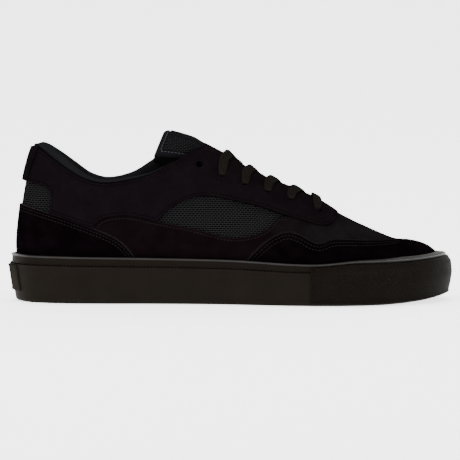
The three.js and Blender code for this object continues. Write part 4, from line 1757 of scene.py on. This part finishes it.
    def overlay_piece(
        self,
        name: str,
        node: str,
        sheet: Sheet,
        finish: Finish,
        thickness: float,
        rows: Sequence[float],
        low: Array | float | None = None,
        keep: Callable[[Array], Array] | None = None,
    ) -> None:
        """Finishes an overlay from its sheet and sews it down.

        Args:
            name: The piece's name.
            node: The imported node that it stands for.
            sheet: Its sheet, already cut out.
            finish: Its finish.
            thickness: Its thickness.
            rows: Distances of its stitch rows from its edge.
            low: Height of its back over the last.
            keep: Says where it is sewn.
        """
        sheet, away = self.finish_edge(sheet, rows)
        back = self.gap if low is None else low
        back = back(sheet) if callable(back) else back
        inner = smooth(away, 1.5, 7)
        bend = self.creases(sheet.pos) * inner
        high = self.gap + self.relief(away, rows, thickness) + bend
        piece = sheet.shell(name, back + np.minimum(bend, 0), high, away)
        dress(piece, self.wardrobe, finish, [node])
        if rows:
            thread = DARK_STITCH if finish is NUBUCK else STITCH
            self.sew(name + "_stitches", sheet, away, rows, high, keep, thread)

    def overlays(self) -> None:
        """Builds counter, mudguard, vamp, quarters and heel tab."""
        form = self.last.sheet
        form = form.cut(self.over_hem(form))
        counter, mudguard = self.counter_shape(), self.mudguard_shape()
        vamp, quarter, tab = self.vamp_shape(), self.quarter_shape(), self.tab_shape()
        self.overlay_piece(
            "heel_counter_suede",
            "heel_counter",
            form.cut(self.within(counter, form)),
            SUEDE,
            self.overlay,
            (2.0, 4.0),
        )
        self.overlay_piece(
            "toe_mudguard_suede",
            "toe_mudguard",
            form.cut(self.within(mudguard, form)),
            SUEDE,
            self.overlay,
            (2.2, 4.4),
        )
        sheet = form.cut(self.within(vamp, form))
        sheet = sheet.cut(-self.in_throat(sheet.pos, self.throat_front))
        sheet = sheet.cut(-self.within(counter, sheet) - self.seam_gap)
        sheet = sheet.cut(-self.within(mudguard, sheet) - self.seam_gap)
        self.overlay_piece(
            "vamp_nubuck",
            "vamp",
            sheet,
            VAMP,
            self.vamp,
            (1.9,),
            keep=lambda pos: (pos[:, 0] < 186)
            & (inside(vamp, pos[:, 0], pos[:, 2]) < 3.2)
            & (pos[:, 2] < 60),
        )
        for side in Side:
            sheet = form.cut(self.within(quarter, form))
            sheet = sheet.cut(side.value * sheet.pos[:, 1] - self.seam_gap / 2)
            sheet = sheet.cut(-self.over_collar(sheet.pos))
            sheet = sheet.cut(-self.in_throat(sheet.pos))
            sheet = sheet.cut(-self.within(counter, sheet) - self.seam_gap)
            sheet = sheet.cut(-self.within(mudguard, sheet) - self.seam_gap)
            sheet = sheet.cut(
                np.maximum(
                    -self.within(tab, sheet) - self.seam_gap,
                    np.abs(sheet.pos[:, 1]) - self.heel_tab_width / 2 - self.seam_gap,
                )
            )
            name = side.name.lower()
            self.overlay_piece(
                f"quarter_{name}_nubuck",
                f"quarter_{name}",
                self.punch(sheet),
                NUBUCK,
                self.quarter,
                (2.0,),
                low=lambda s: np.where(
                    self.within(vamp, s) > -1, self.gap + self.vamp + 0.1, self.gap
                ),
                keep=self.away_from_eyelets,
            )
        sheet = form.cut(self.within(tab, form))
        sheet = sheet.cut(self.heel_tab_width / 2 - np.abs(sheet.pos[:, 1]))
        sheet = sheet.cut(-self.over_collar(sheet.pos))
        self.overlay_piece(
            "heel_tab_nubuck",
            "heel_tab",
            sheet,
            NUBUCK,
            self.heel_tab,
            (1.8,),
        )

    def away_from_eyelets(self, pos: Array) -> Array:
        """Says which places are clear of the eyelets' own edges."""
        clear = np.ones(len(pos), bool)
        for place, _ in self.eyelets():
            clear &= np.linalg.norm(pos - place, axis=1) > 6.0
        return clear

    def make_lining(self) -> None:
        """Builds the padded collar: a ribbed roll over the edge and down inside the heel."""
        body, out = self.last.grid, self.last.grid_out
        count = len(body)
        meets = [self.collar_column(i) for i in range(count)]
        lined = [meet is not None and meet[0] < self.lining_reach for meet in meets]
        start = next(i for i in range(count) if lined[i] and body[i, 0, 1] < 0)
        order = [i % count for i in range(start, start + count) if lined[i % count]]
        rings, plan, along, before = [], [], 0.0, None
        for i in order:
            _, level, roll = meets[i]
            rows = np.linalg.norm(np.diff(body[i], axis=0), axis=1)
            arc = np.concatenate([[0], np.cumsum(rows)])
            height = self.lining_rise * roll
            outside = [(-1.2, -2.5), (-0.2, -0.6), (0.3, 0.9)]
            outside += [(0.45 * height, 1.3), (0.85 * height, 0.9)]
            crest = [(height + 0.2, -0.6), (height + 0.6, -2.6), (height + 0.3, -4.8)]
            inner = [(0.5 * height - 1, -7.0), (-4, -8.2), (-9, -8.4), (-16, -8.0)]
            inner += [(-24, -6.9), (-32, -5.4)]
            foot = [(-self.lining_depth, -3.6), (-self.lining_depth, -2.7)]
            section = [*outside, *crest, *inner, *foot, (-24, -2.6), (-10, -2.6)]
            smooth_ring = closed_spline(np.array(section), 3)
            ring = []
            for h, o in smooth_ring:
                want = np.clip(level + h, 0.5, arc[-1] - 0.5)
                p = [np.interp(want, arc, body[i, :, k]) for k in range(3)]
                q = unit(np.array([np.interp(want, arc, out[i, :, k]) for k in range(3)]))
                ring.append(np.array(p) + q * o)
            ring = np.array(ring)
            if before is not None:
                along += float(np.linalg.norm(ring[9] - before))
            before = ring[9]
            steps = np.linalg.norm(np.diff(ring, axis=0), axis=1)
            down = np.concatenate([[0], np.cumsum(steps)])
            rings.append(ring)
            plan.append(np.column_stack([np.full(len(ring), along), down]))
        piece = tube_mesh("collar_lining_knit", np.array(rings), np.array(plan))
        dress(piece, self.wardrobe, KNIT, ["collar_lining"])

    def collar_column(self, i: int) -> tuple[float, float, float] | None:
        """Finds where a column of the last meets the collar's edge.

        Args:
            i: The column.

        Returns:
            Place along, length up the column and the lining's share of roll, or nothing.
        """
        body = self.last.grid[i]
        over = self.over_collar(body)
        rows = np.linalg.norm(np.diff(body, axis=0), axis=1)
        arc = np.concatenate([[0], np.cumsum(rows)])
        k = int(np.argmax(over > 0))
        if over[k] <= 0 or k == 0:
            return None
        u = over[k - 1] / (over[k - 1] - over[k])
        x = body[k - 1, 0] * (1 - u) + body[k, 0] * u
        level = arc[k - 1] * (1 - u) + arc[k] * u
        return float(x), float(level), float(self.collar.read(3, x / self.scale[0]))

    def make_tongue(self) -> None:
        """Builds the padded tongue, its edge binding and its plain top panel."""
        sheet = self.last.sheet
        foot = self.tongue_top - self.tongue_lean
        shoulder = self.tongue_shoulder * self.scale[0]
        middle = float(self.last.centre(shoulder))
        front = float(self.last.centre(self.tongue_front))
        wide, narrow = self.tongue_width / 2, self.tongue_front_width / 2
        plan = self.shape(
            [
                (foot, middle - wide),
                (shoulder, middle - wide),
                (self.tongue_front, front - narrow),
                (self.tongue_front, front + narrow),
                (shoulder, middle + wide),
                (foot, middle + wide),
            ]
        )
        under = [
            (x, float(self.last.ridge_height(x)) - self.tongue_depth)
            for x in (foot, shoulder, self.tongue_front)
        ]
        crest = (self.tongue_top, float(self.last.ridge_height(self.tongue_top)))
        profile = self.shape(
            [(self.tongue_top, self.far), crest, *under, (self.far, self.far)]
        )
        sheet = sheet.cut(sheet.pos[:, 0] - 60)
        sheet = sheet.cut(inside(plan, sheet.pos[:, 0], sheet.pos[:, 1]))
        sheet = sheet.cut(self.within(profile, sheet, -self.wall - self.gap))
        away = sheet.from_edge()
        for level in (0.3, 0.9, 1.8, 3.0, 3.8, 4.2, 5.5):
            sheet, away = sheet.refine(away, level)
        away = sheet.from_edge()
        puff = np.sqrt(1 - (1 - np.clip(away / 5.5, 0, 1)) ** 2)
        top = -self.wall - self.gap - 0.1
        half = self.tongue / 2
        high = top - half * (1 - puff) * 0.9 - 0.35 * bell(away, 4.2, 0.5)
        low = top - 2 * half + half * (1 - puff) * 0.9
        piece = sheet.shell("tongue_padded", low, high, away)
        dress(piece, self.wardrobe, TONGUE, ["tongue"])
        tape = sheet.cut(3.9 - away)
        tape = tape.cut(168 - tape.pos[:, 0])
        away = tape.from_edge(lambda p: np.ones(len(p), bool))
        tree = sheet.from_edge()
        back = KDTree(len(sheet.pos))
        for k, place in enumerate(sheet.pos):
            back.insert(place, k)
        back.balance()
        same = np.array([back.find(p)[1] for p in tape.pos])
        swell = 0.15 + 0.3 * np.sqrt(np.clip(1 - ((tree[same] - 1.95) / 1.95) ** 2, 0, 1))
        piece = tape.shell("tongue_binding", low[same] - swell, high[same] + swell)
        dress(piece, self.wardrobe, BINDING)
        self.sew(
            "tongue_binding_stitches",
            sheet,
            tree,
            (3.2,),
            high + 0.35,
            keep=lambda pos: pos[:, 0] < 160,
            thread=PALE_STITCH,
        )
        panel = sheet.cut(np.minimum(tree - 4.6, 14 - np.abs(sheet.pos[:, 1] - middle)))
        panel = panel.cut(137 - panel.pos[:, 0])
        flank = sheet.cut(np.minimum(tree - 4.6, np.abs(sheet.pos[:, 1] - middle) - 14.4))
        flank = flank.cut(137 - flank.pos[:, 0])
        piece = flank.shell("tongue_mesh_sides", top - 0.8, top + 0.1)
        dress(piece, self.wardrobe, MESH)
        away = panel.from_edge()
        for level in (0.3, 0.8, 1.5, 2.0, 2.6):
            panel, away = panel.refine(away, level)
        away = panel.from_edge()
        rounded = np.sqrt(1 - (1 - np.clip(away / 0.9, 0, 1)) ** 2)
        piece = panel.shell("tongue_panel", top - 0.4, top + 0.1 + 0.5 * rounded, away)
        dress(piece, self.wardrobe, BINDING)

    def make_insole(self) -> None:
        """Builds the sock liner with a softly raised rim."""
        edge = self.last.inset(self.last.feather_inset + 5.7)
        ring = np.column_stack([edge, self.last.grid[:, 0, 2]])
        count = len(ring)
        partner = ring[(count - np.arange(count)) % count]
        middle = (ring + partner) / 2
        sections = [(1.0, 0.0), (1.0, 2.0), (0.995, 3.9), (0.98, 4.6), (0.94, 4.75), (0.85, 4.5)]
        sections += [(0.7, 4.2), (0.5, 4.0), (0.25, 3.9), (0.02, 3.9)]
        rings = []
        for share, height in sections:
            place = middle + (ring - middle) * share
            place[:, 2] = self.last.feather_height + self.last.lift(place[:, 0]) + height
            rings.append(place)
        places = np.stack(rings, 0)
        piece = tube_mesh("insole_liner", places, places[..., :2])
        dress(piece, self.wardrobe, INSOLE, ["insole"])

    def build(self) -> None:
        """Builds the whole upper."""
        self.body()
        self.overlays()
        self.make_lining()
        self.make_tongue()
        self.make_insole()


def closed_spline(points: Array, per: int) -> Array:
    """Gives a closed smooth line through points."""
    count = len(points)
    out = []
    for k in range(count):
        p = [points[(k + s) % count] for s in (-1, 0, 1, 2)]
        for u in np.arange(per) / per:
            a, b = (p[2] - p[0]) / 2, (p[3] - p[1]) / 2
            out.append(
                p[1] * (2 * u**3 - 3 * u**2 + 1)
                + a * (u**3 - 2 * u**2 + u)
                + p[2] * (3 * u**2 - 2 * u**3)
                + b * (u**3 - u**2)
            )
    return np.array(out)


# The lace.


@dataclass
class Lace:
    """The flat lace: a straight bar on the lowest eyelets and four crossings over the tongue."""

    last: Last
    upper: Upper
    wardrobe: Wardrobe
    width: float = 6.6
    thickness: float = 1.7
    crossings: int = 4
    top: float = 2.6

    def ribbon(self, name: str, spots: Array, outs: Array, widths: Array, node: str) -> None:
        """Sweeps the lace through some spots.

        Args:
            name: The piece's name.
            spots: Places of its middle.
            outs: Directions out of its face.
            widths: Its width at each spot.
            node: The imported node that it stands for, if any.
        """
        points, faces_out, wide = (spline(a, 8) for a in (spots, outs, widths[:, None]))
        way = unit(np.gradient(points, axis=0))
        side = unit(np.cross(faces_out, way))
        rise = unit(np.cross(way, side))
        turn = np.linspace(0, 2 * np.pi, 17)[:-1]
        across = np.sign(np.cos(turn)) * np.abs(np.cos(turn)) ** 0.55
        up = np.sign(np.sin(turn)) * np.abs(np.sin(turn)) ** 0.8
        up = up * (1 - 0.18 * (1 - np.abs(across) ** 2))
        along = np.concatenate([[0], np.cumsum(np.linalg.norm(np.diff(points, axis=0), axis=1))])
        rings = (
            points[:, None, :]
            + side[:, None, :] * (across[None, :, None] * wide[:, None, :] / 2)
            + rise[:, None, :] * (up * self.thickness / 2)[None, :, None]
        )
        plan = np.stack(
            [np.repeat(along[:, None], len(turn), 1), across[None, :] * wide / 2], 2
        )
        piece = tube_mesh(name, rings, plan)
        dress(piece, self.wardrobe, LACE, [node] if node else [])

    def strand(self, row: int, side: Side) -> None:
        """Runs one strand from under the throat's edge over the tongue into the next eyelet."""
        places = self.upper.eyelets()
        pick = 0 if side is Side.LATERAL else 1
        low = float(places[2 * row][0][0])
        high = float(places[2 * row + 2 + pick][0][0])
        s = side.value
        half = self.upper.throat_width / 2
        end = abs(self.upper.reach(side, row + 1)) / half
        hole, way = places[2 * row + 2 + pick]
        tongue, stay = self.last.bed(-self.upper.wall - self.upper.gap), self.last.bed(self.top)
        raised = 1.9 if side is Side.LATERAL else 0.0
        steps = (
            (0.02, -1.25, tongue, 0.7),
            (0.08, -0.95, tongue, 1.0),
            (0.2, -0.5, tongue, 1.1 + 0.2 * raised),
            (0.35, 0.0, tongue, 1.2 + raised),
            (0.5, 0.5, tongue, 2.4 + 0.6 * raised),
            (0.64, 0.97, stay, 1.15),
            (0.78, 1.0 + 0.35 * (end - 1), stay, 1.0),
            (0.91, 1.0 + 0.7 * (end - 1), stay, 0.9),
        )
        spots, outs, widths = [], [], []
        for share, reach, bed, lift in steps:
            x = low + (high - low) * share
            y = float(self.last.centre(x)) + s * reach * half
            place, out = self.last.over(bed, x, y)
            spots.append(place + out * lift)
            outs.append(out)
            widths.append(self.width)
        for lift, wide in ((0.45, 5.0), (-2.4, 2.8)):
            spots.append(hole + way * (self.top + lift))
            outs.append(way)
            widths.append(wide)
        name = f"lace_{row + 1}_{side.name.lower()}"
        node = f"lace_crossing_{row + 1}" if side is Side.LATERAL else ""
        self.ribbon(name, np.array(spots), np.array(outs), np.array(widths), node)

    def bar(self) -> None:
        """Lays the straight bar on the lowest eyelets."""
        places = self.upper.eyelets()
        x = float(places[0][0][0])
        bed = self.last.bed(self.top)
        spots, outs, widths = [], [], []
        for share, lift, wide in (
            (-1.03, -1.6, 3.0),
            (-0.97, 0.5, 5.2),
            (-0.8, 1.0, self.width),
            (-0.5, 1.1, self.width),
            (0, 0.9, self.width),
            (0.5, 1.1, self.width),
            (0.8, 1.0, self.width),
            (0.97, 0.5, 5.2),
            (1.03, -1.6, 3.0),
        ):
            side = Side.LATERAL if share < 0 else Side.MEDIAL
            y = float(self.last.centre(x)) + abs(share) * self.upper.reach(side, 0)
            place, out = self.last.over(bed, x, y)
            spots.append(place + out * lift)
            outs.append(out)
            widths.append(wide)
        self.ribbon("lace_bar_braid", np.array(spots), np.array(outs), np.array(widths), "lace_bar")

    def build(self) -> None:
        """Runs the whole lace."""
        self.bar()
        for row in range(self.crossings):
            for side in Side:
                self.strand(row, side)


# Studio.


@dataclass
class Studio:
    """Pale sweep, soft light and the photograph's camera."""

    lens: float = 185
    sensor: float = 36
    distance: float = 1.6
    eye_height: float = 0.15
    aim_height: float = 0.0475
    aim_x: float = -0.0006
    aim_y: float = 0.0008

    def camera(self) -> None:
        """Sets the camera at the photograph's angle."""
        data = bpy.data.cameras.new("photo_camera")
        data.lens = self.lens
        data.sensor_width = self.sensor
        data.clip_start, data.clip_end = 0.01, 50
        eye = bpy.data.objects.new("photo_camera", data)
        bpy.context.scene.collection.objects.link(eye)
        eye.location = (self.aim_x, self.aim_y - self.distance, self.eye_height)
        way = Vector((0, self.distance, self.aim_height - self.eye_height))
        eye.rotation_euler = way.to_track_quat("-Z", "Y").to_euler()
        bpy.context.scene.camera = eye

    def sweep(self) -> None:
        """Lays the floor with its rise at the back."""
        turn = np.linspace(0, np.pi / 2, 13)
        line = [(-3.0, 0.0), *((1.5 + np.sin(t), 1 - np.cos(t)) for t in turn), (2.5, 4.0)]
        verts = [(x, y, z) for y, z in line for x in (-4.0, 4.0)]
        faces = [(2 * k, 2 * k + 1, 2 * k + 3, 2 * k + 2) for k in range(len(line) - 1)]
        mesh = bpy.data.meshes.new("pale_floor")
        mesh.from_pydata(verts, [], faces)
        mesh.shade_smooth()
        floor = bpy.data.objects.new("pale_floor", mesh)
        bpy.context.scene.collection.objects.link(floor)
        material = bpy.data.materials.new("matt_paper")
        material.use_nodes = True
        shader = material.node_tree.nodes["Principled BSDF"]
        shader.inputs["Base Color"].default_value = linear("#f4f4f4")
        shader.inputs["Roughness"].default_value = 0.9
        shader.inputs["Emission Color"].default_value = (1, 1, 1, 1)
        shader.inputs["Emission Strength"].default_value = 2.2
        mesh.materials.append(material)

    def lights(self) -> None:
        """Hangs the soft boxes and sets the room's light."""
        world = bpy.data.worlds.new("studio_room")
        bpy.context.scene.world = world
        world.use_nodes = True
        ground = world.node_tree.nodes["Background"]
        ground.inputs["Color"].default_value = (1, 1, 1, 1)
        ground.inputs["Strength"].default_value = 0.9
        for name, place, size, power in (
            ("top_box", (0.0, -0.2, 1.6), 1.4, 26),
            ("front_box", (-0.9, -1.5, 1.1), 1.0, 16),
            ("toe_box", (1.3, -0.7, 0.9), 0.8, 3),
        ):
            data = bpy.data.lights.new(name, "AREA")
            data.size = size
            data.energy = power
            lamp = bpy.data.objects.new(name, data)
            bpy.context.scene.collection.objects.link(lamp)
            lamp.location = place
            aim = Vector((0, 0, 0.05)) - Vector(place)
            lamp.rotation_euler = aim.to_track_quat("-Z", "Y").to_euler()

    def build(self) -> None:
        """Builds the studio."""
        self.camera()
        self.sweep()
        self.lights()


def main() -> None:
    """Builds the shoe and its studio."""
    logging.basicConfig(level=logging.INFO, format="%(name)s %(message)s")
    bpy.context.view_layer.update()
    Studio().build()
    wardrobe = Wardrobe()
    last = Last()
    Sole(last, wardrobe).build()
    upper = Upper(last, wardrobe)
    upper.build()
    Lace(last, upper, wardrobe).build()


if __name__ == "__main__":
    main()
